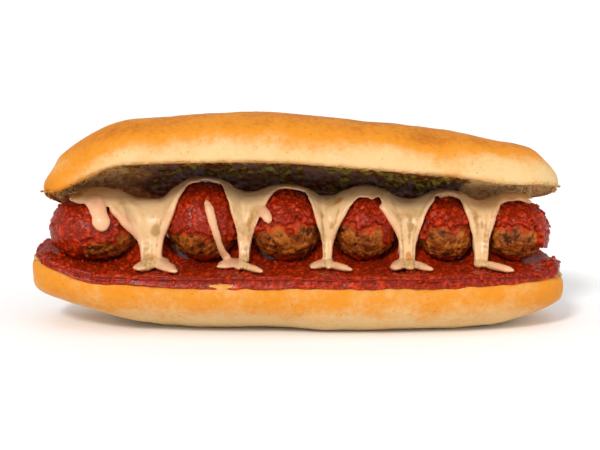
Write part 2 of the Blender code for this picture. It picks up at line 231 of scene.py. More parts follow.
class StageSettings(PropertyGroup):
    """Floor, lights and camera."""

    floor: tint("Floor", "Colour of the floor", (0.95, 0.95, 0.95))
    key: number("Key light", "Strength of the main light", 1.7)
    softness: FloatProperty(
        name="Softness", description="How wide the main light is", default=math.radians(11.0), subtype="ANGLE")
    fill: FloatProperty(name="Fill light", description="Power of the second lamp", default=1.0, unit="POWER")
    air: number("Ambient", "Strength of the light from the front half of the room", 1.0)
    air_behind: number("Ambient behind", "Strength of the light from behind", 0.55)
    elevation: FloatProperty(
        name="Elevation", description="How far the camera looks down", default=math.radians(10.0), subtype="ANGLE")
    distance: length("Distance", "From the camera to the middle of the sandwich", 0.742)


# ---- sums on arrays of points ----

def smooth(value, low, high):
    """0 below low, 1 above high, and an S curve between them."""
    share = np.clip((value - low) / (high - low), 0.0, 1.0)
    return share * share * (3.0 - 2.0 * share)


def power(value, exponent):
    """value to a power, with the sign kept."""
    return np.copysign(np.abs(value) ** exponent, value)


def wobble(x, y, z, size, seed):
    """Smooth noise from -1 to 1 whose bumps are about as large as size."""
    x, y, z = np.broadcast_arrays(x, y, z)
    places = np.stack([x / size + seed, y / size - seed, z / size + 2.0 * seed], axis=-1)
    flat = [noise.noise(place) for place in places.reshape(-1, 3).tolist()]
    return np.array(flat).reshape(x.shape)


def bumps(points, size, seed, stretch=(1.0, 1.0, 1.0)):
    """The same noise at an array of points, drawn out along an axis by stretch."""
    x, y, z = (points[..., axis] / stretch[axis] for axis in range(3))
    return wobble(x, y, z, size, seed)


def grains(points, size, seed, crease=0.42, swirl=0.35):
    """Rounded grains: 1 on a grain and 0 in the crevice between two, and a random tone for each grain."""
    bent = points / size + seed
    drift = np.stack([bumps(points, size * 1.4, seed + 10.0 * axis) for axis in range(3)], axis=-1)
    bent = bent + swirl * drift
    height, tone = np.empty(len(points)), np.empty(len(points))
    for index, place in enumerate(bent.tolist()):
        distances, cells = noise.voronoi(place)
        height[index] = distances[1] - distances[0]
        tone[index] = noise.cell(cells[0] * 7.31)
    return smooth(height, 0.0, crease), 0.5 + 0.5 * np.abs(tone)


# ---- meshes ----

def add_mesh(name, points, faces):
    """A mesh from an array of points, with its faces turned outwards."""
    mesh = bpy.data.meshes.new(name)
    mesh.from_pydata(points.tolist(), [], [list(face) for face in faces])
    mesh.calc_loop_triangles()
    corners = np.empty(len(mesh.loop_triangles) * 3, dtype=np.int32)
    mesh.loop_triangles.foreach_get("vertices", corners)
    first, second, third = (points[corners[start::3]] for start in range(3))
    if np.einsum("ij,ij->i", first, np.cross(second, third)).sum() < 0.0:
        mesh.flip_normals()
    mesh.shade_smooth()
    return mesh


def shell(name, grid):
    """A closed mesh from loops of points, with the first loop and the last one each closed to a pole."""
    loops, turns = grid.shape[:2]
    index = np.arange(loops * turns).reshape(loops, turns)
    here, there = index[:-1], index[1:]
    quads = np.stack([here, there, np.roll(there, -1, axis=1), np.roll(here, -1, axis=1)], axis=-1)
    faces = quads.reshape(-1, 4).tolist()
    start, end = loops * turns, loops * turns + 1
    faces += [(start, a, b) for a, b in zip(index[0], np.roll(index[0], -1))]
    faces += [(end, b, a) for a, b in zip(index[-1], np.roll(index[-1], -1))]
    points = np.concatenate([grid.reshape(-1, 3), grid[0].mean(axis=0)[None], grid[-1].mean(axis=0)[None]])
    return add_mesh(name, points, faces)


def with_poles(values):
    """The values of a grid of points, with a mean for each of the two poles that shell adds."""
    return np.concatenate([values.reshape(-1), [values[0].mean(), values[-1].mean()]])


def positions(mesh):
    points = np.empty(len(mesh.vertices) * 3)
    mesh.vertices.foreach_get("co", points)
    return points.reshape(-1, 3)


def move_to(mesh, points):
    mesh.vertices.foreach_set("co", points.astype(np.float32).reshape(-1))
    mesh.update()


def normals(mesh):
    directions = np.empty(len(mesh.vertices) * 3)
    mesh.vertex_normals.foreach_get("vector", directions)
    return directions.reshape(-1, 3)


def swell(mesh, heights):
    """Moves each vertex along its normal."""
    move_to(mesh, positions(mesh) + normals(mesh) * heights[:, None])


def relax(mesh, times, share=0.5):
    """Evens a mesh out, each vertex towards the mean of its neighbours."""
    edges = np.empty(len(mesh.edges) * 2, dtype=np.int64)
    mesh.edges.foreach_get("vertices", edges)
    first, second = edges[::2], edges[1::2]
    count = np.bincount(first, minlength=len(mesh.vertices)) + np.bincount(second, minlength=len(mesh.vertices))
    points = positions(mesh)
    for _ in range(times):
        total = np.stack([
            np.bincount(first, points[second, axis], len(points))
            + np.bincount(second, points[first, axis], len(points)) for axis in range(3)], axis=-1)
        points += share * (total / np.maximum(count, 1)[:, None] - points)
    move_to(mesh, points)


def paint(mesh, **layers):
    """Stores an array of numbers on the vertices for each named layer, for the materials to read."""
    for name, values in layers.items():
        layer = mesh.attributes.new(name, "FLOAT", "POINT")
        layer.data.foreach_set("value", np.asarray(values, dtype=np.float32))


def ball_directions(detail):
    """The corners and faces of an evenly divided ball of radius 1."""
    body = bmesh.new()
    bmesh.ops.create_icosphere(body, subdivisions=detail, radius=1.0)
    points = np.array([vertex.co[:] for vertex in body.verts])
    faces = [[vertex.index for vertex in face.verts] for face in body.faces]
    body.free()
    return points / np.linalg.norm(points, axis=1)[:, None], faces


def place_piece(name, mesh, material, slot, *nodes):
    """Adds a finished piece to the scene in place of the solids it stands for."""
    piece = bpy.data.objects.new(name, mesh)
    bpy.context.scene.collection.objects.link(piece)
    mesh.materials.clear()
    mesh.materials.append(material)
    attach(piece, "root")
    if nodes:
        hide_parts(*nodes)
    return piece


def apply_modifiers(carrier, name):
    """The evaluated mesh of an object with its modifiers, as a plain mesh. The carrier is removed."""
    bpy.context.view_layer.update()
    evaluated = carrier.evaluated_get(bpy.context.evaluated_depsgraph_get())
    mesh = bpy.data.meshes.new_from_object(evaluated)
    mesh.name = name
    bpy.data.objects.remove(carrier)
    return mesh


# ---- the roll's form ----

def plan_width(along, blunt):
    """How wide a half roll is, as a share, at a share of its half length."""
    return np.maximum(0.0, 1.0 - np.abs(along) ** (2.0 / PLAN_SQUARE)) ** (blunt / 2.0)


def heel_rim(x):
    """The height of the heel's cut face. The left end curls up."""
    return HEEL_HEIGHT + HEEL_CURL * np.maximum(0.0, (-x - 86.0 * MM) / (29.0 * MM)) ** 1.5


def heel_floor(x):
    """The height of the underside, a little below the table where the base is flat."""
    left = 14.0 * MM * smooth(-x, 40.0 * MM, 138.0 * MM)
    right = 9.0 * MM * smooth(x, 84.0 * MM, 124.0 * MM)
    return left + right - 2.1 * MM


def heel_points(along, turn, grow=0.0):
    """Points of the bottom half, or of the same form grown at its sides and top."""
    wide = plan_width(along, HEEL_BLUNT)
    x = along * (HEEL_LENGTH / 2 + grow)
    half = wide * (ROLL_WIDTH / 2 + grow)
    rim, floor = heel_rim(x), heel_floor(x)
    level = rim - HEEL_NOSE * (1.0 - wide) ** 3
    y = half * power(np.cos(turn), 0.9)
    fall = np.abs(np.sin(turn)) ** 0.72
    bulge = 1.0 + 0.035 * np.sin(math.pi * fall)
    tuck = 0.3 * fall ** 3 * smooth(-x, -14.0 * MM, 6.0 * MM) * smooth(x, -84.0 * MM, -48.0 * MM)
    uneven = 0.8 * MM * wobble(x, y, 0.0, 34.0 * MM, 7.7) * fall * wide
    low = level + grow * (1.0 - fall) - (rim - floor) * fall * wide ** 0.35 + uneven
    on_top = np.sin(turn) >= 0.0
    return np.stack([
        x + 0.0 * turn,
        np.where(on_top, y, y * (bulge - tuck * (y < 0.0))),
        np.where(on_top, level + grow, np.maximum(0.0, low)),
    ], axis=-1)


def crown_level(x):
    """The height of the crown's cut edges: it sags to the right, and the left end droops."""
    sag = 5.7 * MM * smooth(x, -25.0 * MM, 80.0 * MM) - 2.2 * MM * smooth(x, 84.0 * MM, 110.0 * MM)
    droop = 8.5 * MM * smooth(-x, 74.0 * MM, 116.0 * MM) - 3.0 * MM * smooth(-x, 105.0 * MM, 114.0 * MM)
    return CROWN_REST - sag - droop


def crown_section(along, turn):
    """The crown before it is tipped back: x, y, z, its width and its height at each point."""
    wide = plan_width(along, CROWN_BLUNT)
    x = CROWN_SHIFT + along * CROWN_LENGTH / 2
    half = wide * ROLL_WIDTH / 2
    rise = CROWN_HEIGHT * wide ** np.where(x < CROWN_SHIFT, 0.92, 1.1)
    rise = rise * (1.0 - 0.5 * smooth(-x, 104.0 * MM, 114.0 * MM) - 0.3 * smooth(x, 100.0 * MM, 116.0 * MM))
    y = half * power(np.cos(turn), 0.92)
    dome = np.abs(np.sin(turn)) ** 0.86
    over = rise * dome + 0.9 * MM * wobble(x, y, 0.0, 38.0 * MM, 1.3) * dome * wide
    arch = CROWN_HOLLOW - 1.4 * MM * smooth(x, -20.0 * MM, 60.0 * MM)
    under = arch * (1.0 - np.abs(np.cos(turn)) ** 1.84) * wide
    return x + 0.0 * turn, y, np.where(np.sin(turn) >= 0.0, over, under), half, rise


def tip_back(x, y, z, wide):
    """Puts the crown's section in its place, with its front edge lifted."""
    ease = smooth(x, 60.0 * MM, 110.0 * MM) + smooth(-x, 70.0 * MM, 106.0 * MM)
    tilt = CROWN_TILT - CROWN_EASE * ease
    lift = crown_level(x) + CROWN_NOSE * (1.0 - wide) ** 3
    return np.stack([
        x,
        y * np.cos(tilt) + z * np.sin(tilt),
        lift + z * np.cos(tilt) - y * np.sin(tilt),
    ], axis=-1)


def roll_grid(loops, turns):
    """Where the rings of a half roll lie and how they turn: closest at the tips and at the cut edges."""
    along = np.sin(np.linspace(-0.5, 0.5, loops + 2)[1:-1] * math.pi)[:, None]
    even = np.arange(turns)[None, :] / turns * 2.0 * math.pi
    return along, even - 0.3 * np.sin(2.0 * even)


def crust_relief(points, bread, seed):
    """Broad dents and fine wrinkles of a baked crust."""
    broad = bumps(points, 22.0 * MM, seed) + 0.4 * bumps(points, 8.0 * MM, seed + 1.0)
    fine = bumps(points, 2.6 * MM, seed + 2.0, (2.2, 1.0, 1.0)) + 0.6 * bumps(points, 1.3 * MM, seed + 3.0)
    return bread.dent * broad + bread.wrinkle * fine


def crumb_relief(points, bread, seed):
    """Open pores of a cut crumb, large and small."""
    open_pores, _ = grains(points, 3.6 * MM, seed)
    rough = bumps(points, 5.0 * MM, seed + 1.0) + 0.5 * bumps(points, 1.6 * MM, seed + 2.0)
    return bread.pore * (open_pores - 0.8 + 0.4 * rough)


def bake_half(name, points, wide, cut, gap, bake, stain, bread, seed):
    """The mesh of a half roll with its relief and the layers that colour it."""
    mesh = shell(name, points)
    cut, gap = with_poles(cut), with_poles(gap)
    calm = with_poles(smooth(wide, 0.12, 0.45) + 0.0 * points[..., 0])
    places = positions(mesh)
    rounding = 0.9 * MM * np.exp(-(gap / (1.6 * MM)) ** 2)
    face = smooth(cut, 0.3, 0.7)
    swell(mesh, (1.0 - face) * crust_relief(places, bread, seed)
          + face * calm * crumb_relief(places, bread, seed + 5.0) - rounding)
    flat = positions(mesh)
    flat[:, 2] = np.maximum(flat[:, 2], 0.0)
    move_to(mesh, flat)
    ragged = 0.25 * bumps(places, 4.0 * MM, seed + 7.0) * np.exp(-(gap / (3.0 * MM)) ** 2)
    paint(mesh, cut=np.clip(cut + ragged, 0.0, 1.0), bake=with_poles(bake), stain=with_poles(stain))
    return mesh


# ---- the filling's form ----

def ball_middle(ball):
    return np.array([ball[0], ball[1], BED_TOP - BALL_SINK + ball[4]])


def ball_surface(ball, directions, grow):
    """Points of a meatball in the given directions, grown by an array of heights."""
    x, y, z = directions.T
    lump = 0.5 + 0.5 * wobble(x + ball[0] * 40.0, y, z, 0.55, 2.0)
    size = 1.0 - 0.045 * lump
    reach = size[:, None] * np.array(ball[2:]) + np.asarray(grow)[:, None]
    return ball_middle(ball) + directions * reach


def ball_reach(x, rise, grow):
    """How far the meatballs, grown, reach from the cheese's axis, at x and an angle up from the front."""
    farthest = np.zeros(np.broadcast(x, rise).shape)
    step_y, step_z = -np.cos(rise), np.sin(rise)
    for ball in MEATBALLS:
        middle = ball_middle(ball)
        half_x, half_y, half_z = (size + grow for size in ball[2:])
        slice_share = 1.0 - ((x - middle[0]) / half_x) ** 2
        start_y, start_z = -middle[1], AXIS_HEIGHT - middle[2]
        square = (step_y / half_y) ** 2 + (step_z / half_z) ** 2
        cross = start_y * step_y / half_y ** 2 + start_z * step_z / half_z ** 2
        rest = (start_y / half_y) ** 2 + (start_z / half_z) ** 2 - slice_share
        inside = cross * cross - square * rest
        found = (np.sqrt(np.maximum(inside, 0.0)) - cross) / square
        farthest = np.where((inside > 0.0) & (slice_share > 0.0), np.maximum(farthest, found), farthest)
    return farthest


def cheese_reach(x, rise):
    """How far the underside of the cheese is from its axis: over the meatballs, and bridging the gaps."""
    top = cheese_top(x)
    arch = top / np.hypot(top * np.cos(rise), CHEESE_FRONT * np.sin(rise))
    low = 1.0 / np.maximum(0.3, np.abs(np.cos(rise)))
    bridge = CHEESE_FRONT * np.where((rise < 0.0) | (rise > math.pi), low, arch)
    near = ball_reach(x, rise, CHEESE_OVER)
    return 0.5 * (near + bridge + np.sqrt((near - bridge) ** 2 + (2.0 * MM) ** 2))


def cheese_gaps():
    """The middle of the gap between each meatball and the next."""
    return [(ball[0] + ball[2] + following[0] - following[2]) / 2
            for ball, following in zip(MEATBALLS, MEATBALLS[1:])]


def ease_along(x, places, values):
    """Sizes at x that ease from the value at one place to the value at the next."""
    eased = np.full(np.shape(x), values[0])
    for start, end, low, high in zip(places, places[1:], values, values[1:]):
        eased = np.where(x > start, low + (high - low) * smooth(x, start, end), eased)
    return eased


def cheese_top(x):
    """How high over the axis the cheese bridges the gaps."""
    return ease_along(x, cheese_gaps(), [curtain[3] for curtain in CURTAINS])


def cheese_brow(x):
    """The angle of the cheese's front edge between the curtains."""
    return ease_along(x, [CHEESE_LEFT] + [ball[0] for ball in MEATBALLS], [math.radians(78.0)] + BROWS)


def cheese_edge(x, foot, brow):
    """The angle of the cheese's edge: down at the sauce in a curtain, and up at its brow over a meatball."""
    share = np.ones(np.shape(x))
    for gap, (neck, left, right, _) in zip(cheese_gaps(), CURTAINS):
        shoulder = np.where(x < gap, left, right)
        away = np.clip((np.abs(x - gap) - neck) / (shoulder - neck), 0.0, 1.0)
        share = np.minimum(share, away ** CHEESE_FUNNEL)
    return foot + (brow - foot) * share


def wrap(x, rise, radius):
    """A point beside the cheese's axis from its place along it, its angle up from the front and its radius."""
    return np.stack(np.broadcast_arrays(
        x, -radius * np.cos(rise), AXIS_HEIGHT + radius * np.sin(rise)), axis=-1)


# ---- materials ----

def add_node(tree, kind, inputs=None, **settings):
    """A node with its settings made, and each input set to a value or linked to a socket."""
    made = tree.nodes.new(kind)
    for name, value in settings.items():
        setattr(made, name, value)
    for name, value in (inputs or {}).items():
        if isinstance(value, bpy.types.NodeSocket):
            tree.links.new(value, made.inputs[name])
        elif value is not None:
            made.inputs[name].default_value = value
    return made


def mixed(tree, share, first, second, blend="MIX"):
    """A colour between two others."""
    made = add_node(tree, "ShaderNodeMix", {0: share, 6: as_colour(first), 7: as_colour(second)},
                    data_type="RGBA", blend_type=blend)
    return made.outputs[2]


def as_colour(value):
    return value if isinstance(value, bpy.types.NodeSocket) else (*tuple(value)[:3], 1.0)


def sums(tree, operation, first, second, clamp=False):
    made = add_node(tree, "ShaderNodeMath", {0: first, 1: second}, operation=operation, use_clamp=clamp)
    return made.outputs[0]


def spread(tree, value, low, high, start=0.0, end=1.0):
    """A value eased from start to end as it goes from low to high."""
    made = add_node(tree, "ShaderNodeMapRange", {
        "Value": value, "From Min": low, "From Max": high, "To Min": start, "To Max": end,
    }, interpolation_type="SMOOTHSTEP")
    return made.outputs["Result"]


def layer(tree, name):
    """The numbers that paint stored under a name."""
    return add_node(tree, "ShaderNodeAttribute", attribute_name=name).outputs["Fac"]


def new_group(name, inputs, output, kind):
    """An empty shader node group with number inputs and one output."""
    group = bpy.data.node_groups.new(name, "ShaderNodeTree")
    for socket, value in inputs:
        made = group.interface.new_socket(socket, in_out="INPUT", socket_type="NodeSocketFloat")
        made.default_value = value
    group.interface.new_socket(output, in_out="OUTPUT", socket_type=kind)
    entry = group.nodes.new("NodeGroupInput")
    leave = group.nodes.new("NodeGroupOutput")
    return group, entry, leave


def mottle_group():
    """Soft patches: a mask from 0 to 1."""
    name = "Mottle"
    if name in bpy.data.node_groups:
        return bpy.data.node_groups[name]
    group, entry, leave = new_group(
        name, (("Scale", 100.0), ("Seed", 0.0), ("Contrast", 3.0)), "Mask", "NodeSocketFloat")
    place = add_node(group, "ShaderNodeTexCoord").outputs["Object"]
    patches = add_node(group, "ShaderNodeTexNoise", {
        "Vector": place, "Scale": entry.outputs["Scale"], "W": entry.outputs["Seed"],
        "Detail": 4.0, "Roughness": 0.62}, noise_dimensions="4D").outputs["Fac"]
    centred = sums(group, "SUBTRACT", patches, 0.5)
    stretched = sums(group, "MULTIPLY", centred, entry.outputs["Contrast"])
    group.links.new(sums(group, "ADD", stretched, 0.5, clamp=True), leave.inputs["Mask"])
    return group


def speck_group():
    """Small scattered specks: a mask that is 1 in a speck."""
    name = "Specks"
    if name in bpy.data.node_groups:
        return bpy.data.node_groups[name]
    group, entry, leave = new_group(
        name, (("Scale", 700.0), ("Amount", 0.3), ("Size", 0.3)), "Mask", "NodeSocketFloat")
    place = add_node(group, "ShaderNodeTexCoord").outputs["Object"]
    cells = add_node(group, "ShaderNodeTexVoronoi", {"Vector": place, "Scale": entry.outputs["Scale"]})
    lot = add_node(group, "ShaderNodeSeparateColor", {"Color": cells.outputs["Color"]})
    chosen = sums(group, "LESS_THAN", lot.outputs["Red"], entry.outputs["Amount"])
    size = sums(group, "MULTIPLY", lot.outputs["Green"], entry.outputs["Size"])
    inside = sums(group, "LESS_THAN", cells.outputs["Distance"], size)
    group.links.new(sums(group, "MULTIPLY", chosen, inside), leave.inputs["Mask"])
    return group


def grain_group():
    """A normal with a fine grain."""
    name = "Fine grain"
    if name in bpy.data.node_groups:
        return bpy.data.node_groups[name]
    group, entry, leave = new_group(
        name, (("Scale", 900.0), ("Height", 0.0001), ("Strength", 0.5)), "Normal", "NodeSocketVector")
    place = add_node(group, "ShaderNodeTexCoord").outputs["Object"]
    grain = add_node(group, "ShaderNodeTexNoise", {
        "Vector": place, "Scale": entry.outputs["Scale"], "Detail": 3.0, "Roughness": 0.6}).outputs["Fac"]
    bump = add_node(group, "ShaderNodeBump", {
        "Height": grain, "Distance": entry.outputs["Height"], "Strength": entry.outputs["Strength"]})
    group.links.new(bump.outputs["Normal"], leave.inputs["Normal"])
    return group


def from_group(tree, group, **values):
    """The one output of a group with these values."""
    made = add_node(tree, "ShaderNodeGroup", node_tree=group)
    for name, value in values.items():
        made.inputs[name.capitalize()].default_value = value
    return made.outputs[0]


def new_material(name):
    """A material with only a Principled shader in it: the node tree and that shader."""
    material = bpy.data.materials.new(name)
    material.use_nodes = True
    tree = material.node_tree
    return material, tree, tree.nodes["Principled BSDF"]


def connect(tree, shader, colour, roughness, normal, **fixed):
    """Gives the shader its colour, roughness, normal and fixed values."""
    tree.links.new(colour, shader.inputs["Base Color"])
    tree.links.new(roughness, shader.inputs["Roughness"])
    tree.links.new(normal, shader.inputs["Normal"])
    for name, value in fixed.items():
        shader.inputs[name.replace("_", " ").title().replace("Ior", "IOR")].default_value = value


def bread_material(bread):
    """Baked crust and cut crumb, as the layers bake, cut, toast and stain say. Under the top half the dark crumb is
    partly sauce and herb stains and partly painted shade.
    """
    material, tree, shader = new_material("Bread")
    broad = from_group(tree, mottle_group(), scale=70.0, seed=1.0, contrast=2.6)
    fine = from_group(tree, mottle_group(), scale=420.0, seed=2.0, contrast=2.6)
    baked = sums(tree, "ADD", layer(tree, "bake"), spread(tree, broad, 0.0, 1.0, -0.12, 0.12))
    baked = sums(tree, "ADD", baked, spread(tree, fine, 0.0, 1.0, -0.07, 0.07))
    crust = mixed(tree, spread(tree, baked, 0.0, 0.62), bread.pale, bread.golden)
    crust = mixed(tree, spread(tree, baked, 0.60, 1.15), crust, bread.brown)
    specks = from_group(tree, speck_group(), scale=620.0, amount=0.35, size=0.34)
    crust = mixed(tree, sums(tree, "MULTIPLY", specks, 0.30), crust, bread.brown)
    pores = from_group(tree, mottle_group(), scale=330.0, seed=4.0, contrast=3.4)
    toasted = sums(tree, "ADD", layer(tree, "toast"), spread(tree, pores, 0.2, 1.0, -0.25, 0.25))
    crumb = mixed(tree, spread(tree, toasted, 0.1, 0.9), bread.crumb, bread.toasted)
    # This mask adds up sauce and herb stains and painted shade in the crumb under the top half.
    soak_and_shade = sums(tree, "ADD", layer(tree, "stain"), spread(tree, broad, 0.0, 1.0, -0.3, 0.3))
    crumb = mixed(tree, spread(tree, soak_and_shade, 0.25, 0.75), crumb, bread.soaked)
    cut = layer(tree, "cut")
    colour = mixed(tree, cut, crust, crumb)
    oiled = spread(tree, soak_and_shade, 0.2, 0.8, 0.75, 0.45)
    dry = spread(tree, fine, 0.0, 1.0, 0.40, 0.58)
    roughness = sums(tree, "ADD", sums(tree, "MULTIPLY", cut, oiled),
                     sums(tree, "MULTIPLY", sums(tree, "SUBTRACT", 1.0, cut), dry))
    normal = from_group(tree, grain_group(), scale=900.0, height=0.00012, strength=0.6)
    connect(tree, shader, colour, roughness, normal, subsurface_weight=0.08, subsurface_scale=0.002,
            specular_ior_level=0.10)
    return material


def sauce_material(sauce):
    """Glossy tomato sauce with painted shade in its hollows and a painted highlight on its lumps: the layer lump is 1
    on a lump.
    """
    material, tree, shader = new_material("Tomato sauce")
    broad = from_group(tree, mottle_group(), scale=130.0, seed=5.0, contrast=2.4)
    fine = from_group(tree, mottle_group(), scale=700.0, seed=6.0, contrast=2.6)
    # Where the layer lump is high the sauce gets painted light, where it is low painted shade.
    high = sums(tree, "ADD", layer(tree, "lump"), spread(tree, fine, 0.0, 1.0, -0.22, 0.22))
    colour = mixed(tree, spread(tree, high, 0.0, 0.5), sauce.deep, sauce.red)
    lit = sums(tree, "MULTIPLY", spread(tree, high, 0.45, 1.05), spread(tree, broad, 0.1, 0.9, 0.35, 1.0))
    colour = mixed(tree, sums(tree, "MULTIPLY", lit, layer(tree, "thin")), colour, sauce.bright)
    specks = from_group(tree, speck_group(), scale=520.0, amount=0.22, size=0.36)
    colour = mixed(tree, sums(tree, "MULTIPLY", specks, 0.75), colour, (0.05, 0.012, 0.004))
    roughness = spread(tree, fine, 0.0, 1.0, 0.16, 0.40)
    normal = from_group(tree, grain_group(), scale=1100.0, height=0.00016, strength=0.7)
    connect(tree, shader, colour, roughness, normal, subsurface_weight=0.10, subsurface_scale=0.0015,
            specular_ior_level=0.16)
    return material


def meat_material(meat, sauce):
    """Browned ground meat: the layers crease and tone follow its grains, crease low in the crevices paints shade
    there, and wet is where sauce ran.
    """
    material, tree, shader = new_material("Browned meat")
    broad = from_group(tree, mottle_group(), scale=150.0, seed=7.0, contrast=3.0)
    fine = from_group(tree, mottle_group(), scale=900.0, seed=8.0, contrast=3.0)
    light = sums(tree, "MULTIPLY", layer(tree, "tone"), spread(tree, broad, 0.1, 0.9, 0.2, 1.0))
    light = sums(tree, "ADD", light, spread(tree, fine, 0.0, 1.0, -0.25, 0.25), clamp=True)
    colour = mixed(tree, spread(tree, light, 0.15, 0.75), meat.brown, meat.tan)
    # Painted shade in the crevices, where the layer crease is low.
    colour = mixed(tree, spread(tree, layer(tree, "crease"), 0.0, 0.55), meat.crevice, colour)
    wet = sums(tree, "ADD", layer(tree, "wet"), spread(tree, broad, 0.0, 1.0, -0.2, 0.2))
    colour = mixed(tree, spread(tree, wet, 0.3, 0.9, 0.0, 0.75), colour, sauce.red)
    roughness = spread(tree, fine, 0.0, 1.0, 0.32, 0.62)
    normal = from_group(tree, grain_group(), scale=1300.0, height=0.00022, strength=0.8)
    connect(tree, shader, colour, roughness, normal, specular_ior_level=0.12)
    return material


def cheese_material(cheese):
    """Melted cheese: the layer thin is where it is stretched, blush where sauce stains it, oil where it ran."""
    material, tree, shader = new_material("Melted cheese")
    broad = from_group(tree, mottle_group(), scale=110.0, seed=9.0, contrast=2.4)
    fine = from_group(tree, mottle_group(), scale=480.0, seed=10.0, contrast=2.2)
    stained = sums(tree, "ADD", layer(tree, "blush"), spread(tree, broad, 0.0, 1.0, -0.28, 0.18))
    colour = mixed(tree, spread(tree, stained, 0.2, 1.0, 0.0, 0.85), cheese.cream, cheese.blush)
    clear = sums(tree, "ADD", layer(tree, "thin"), spread(tree, fine, 0.0, 1.0, -0.15, 0.15))
    colour = mixed(tree, spread(tree, clear, 0.2, 0.9, 0.0, 0.9), colour, cheese.thin)
    colour = mixed(tree, spread(tree, layer(tree, "oil"), 0.3, 0.9, 0.0, 0.9), colour, (0.62, 0.22, 0.03))
    roughness = spread(tree, fine, 0.0, 1.0, 0.24, 0.42)
    normal = from_group(tree, grain_group(), scale=500.0, height=0.00012, strength=0.4)
    connect(tree, shader, colour, roughness, normal, subsurface_weight=0.35, subsurface_scale=0.003,
            specular_ior_level=0.34)
    shader.inputs["Subsurface Radius"].default_value = (1.0, 0.6, 0.3)
    return material


def bit_material(name, first, second, rough):
    """Scattered bits, each of its own tone between two colours."""
    material, tree, shader = new_material(name)
    fine = from_group(tree, mottle_group(), scale=1100.0, seed=11.0, contrast=2.0)
    share = sums(tree, "ADD", layer(tree, "tone"), spread(tree, fine, 0.0, 1.0, -0.25, 0.25), clamp=True)
    colour = mixed(tree, share, first, second)
    roughness = spread(tree, fine, 0.0, 1.0, rough - 0.08, rough + 0.08)
    normal = from_group(tree, grain_group(), scale=1500.0, height=0.0001, strength=0.5)
    connect(tree, shader, colour, roughness, normal, specular_ior_level=0.12)
    return material


# ---- scattered bits ----

def scatter_tree():
    """A node tree that scatters lumps over a surface, thickest where its layer scatter is high."""
    name = "Scattered bits"
    if name in bpy.data.node_groups:
        return bpy.data.node_groups[name]
    tree = bpy.data.node_groups.new(name, "GeometryNodeTree")
    tree.interface.new_socket("Surface", in_out="INPUT", socket_type="NodeSocketGeometry")
    for socket, kind in (("Density", "Float"), ("Smallest", "Vector"), ("Largest", "Vector"),
                         ("Lumpiness", "Float"), ("Divisions", "Int"), ("Seed", "Int"), ("Material", "Material")):
        tree.interface.new_socket(socket, in_out="INPUT", socket_type=f"NodeSocket{kind}")
    tree.interface.new_socket("Bits", in_out="OUTPUT", socket_type="NodeSocketGeometry")
    given = tree.nodes.new("NodeGroupInput").outputs
    where = add_node(tree, "GeometryNodeInputNamedAttribute", {"Name": "scatter"}, data_type="FLOAT")
    density = sums(tree, "MULTIPLY", where.outputs["Attribute"], given["Density"])
    points = add_node(tree, "GeometryNodeDistributePointsOnFaces", {
        "Mesh": given["Surface"], "Density": density, "Seed": given["Seed"]}, distribute_method="RANDOM")
    ball = add_node(tree, "GeometryNodeMeshIcoSphere", {"Radius": 1.0, "Subdivisions": given["Divisions"]})
    swirl = add_node(tree, "ShaderNodeTexNoise", {"Scale": 1.4, "Detail": 1.0})
    centred = add_node(tree, "ShaderNodeVectorMath", {
        0: swirl.outputs["Color"], 1: (0.5, 0.5, 0.5)}, operation="SUBTRACT")
    offset = add_node(tree, "ShaderNodeVectorMath", {
        0: centred.outputs[0], "Scale": given["Lumpiness"]}, operation="SCALE")
    lump = add_node(tree, "GeometryNodeSetPosition", {
        "Geometry": ball.outputs["Mesh"], "Offset": offset.outputs[0]})
    lump = add_node(tree, "GeometryNodeSetShadeSmooth", {"Geometry": lump.outputs[0]})
    size = add_node(tree, "FunctionNodeRandomValue", {
        0: given["Smallest"], 1: given["Largest"], "Seed": given["Seed"]}, data_type="FLOAT_VECTOR")
    strewn = add_node(tree, "GeometryNodeInstanceOnPoints", {
        "Points": points.outputs["Points"], "Instance": lump.outputs[0],
        "Rotation": points.outputs["Rotation"], "Scale": size.outputs[0]})
    turn = add_node(tree, "FunctionNodeRandomValue", {
        0: (-0.5, -0.5, 0.0), 1: (0.5, 0.5, 2.0 * math.pi), "Seed": 3}, data_type="FLOAT_VECTOR")
    turned = add_node(tree, "GeometryNodeRotateInstances", {
        "Instances": strewn.outputs[0], "Rotation": turn.outputs[0]})
    lot = add_node(tree, "FunctionNodeRandomValue", {"Seed": 5}, data_type="FLOAT")
    toned = add_node(tree, "GeometryNodeStoreNamedAttribute", {
        "Geometry": turned.outputs[0], "Name": "tone", "Value": lot.outputs[1]},
        data_type="FLOAT", domain="INSTANCE")
    real = add_node(tree, "GeometryNodeRealizeInstances", {"Geometry": toned.outputs[0]})
    done = add_node(tree, "GeometryNodeSetMaterial", {
        "Geometry": real.outputs[0], "Material": given["Material"]})
    leave = tree.nodes.new("NodeGroupOutput")
    tree.links.new(done.outputs[0], leave.inputs["Bits"])
    return tree


def scatter_ground(names, layers):
    """One mesh from the triangles of several pieces where a number for each of their points is above zero."""
    points, faces, weights, first = [], [], [], 0
    for name, weight in zip(names, layers):
        mesh = bpy.data.objects[name].data
        mesh.calc_loop_triangles()
        corners = np.empty(len(mesh.loop_triangles) * 3, dtype=np.int32)
        mesh.loop_triangles.foreach_get("vertices", corners)
        corners = corners.reshape(-1, 3)
        kept = corners[weight[corners].max(axis=1) > 0.02]
        used, renumbered = np.unique(kept, return_inverse=True)
        points.append(positions(mesh)[used])
        weights.append(weight[used])
        faces.append(renumbered.reshape(-1, 3) + first)
        first += len(used)
    ground = bpy.data.meshes.new("ground")
    ground.from_pydata(np.concatenate(points).tolist(), [], np.concatenate(faces).tolist())
    paint(ground, scatter=np.concatenate(weights))
    return ground


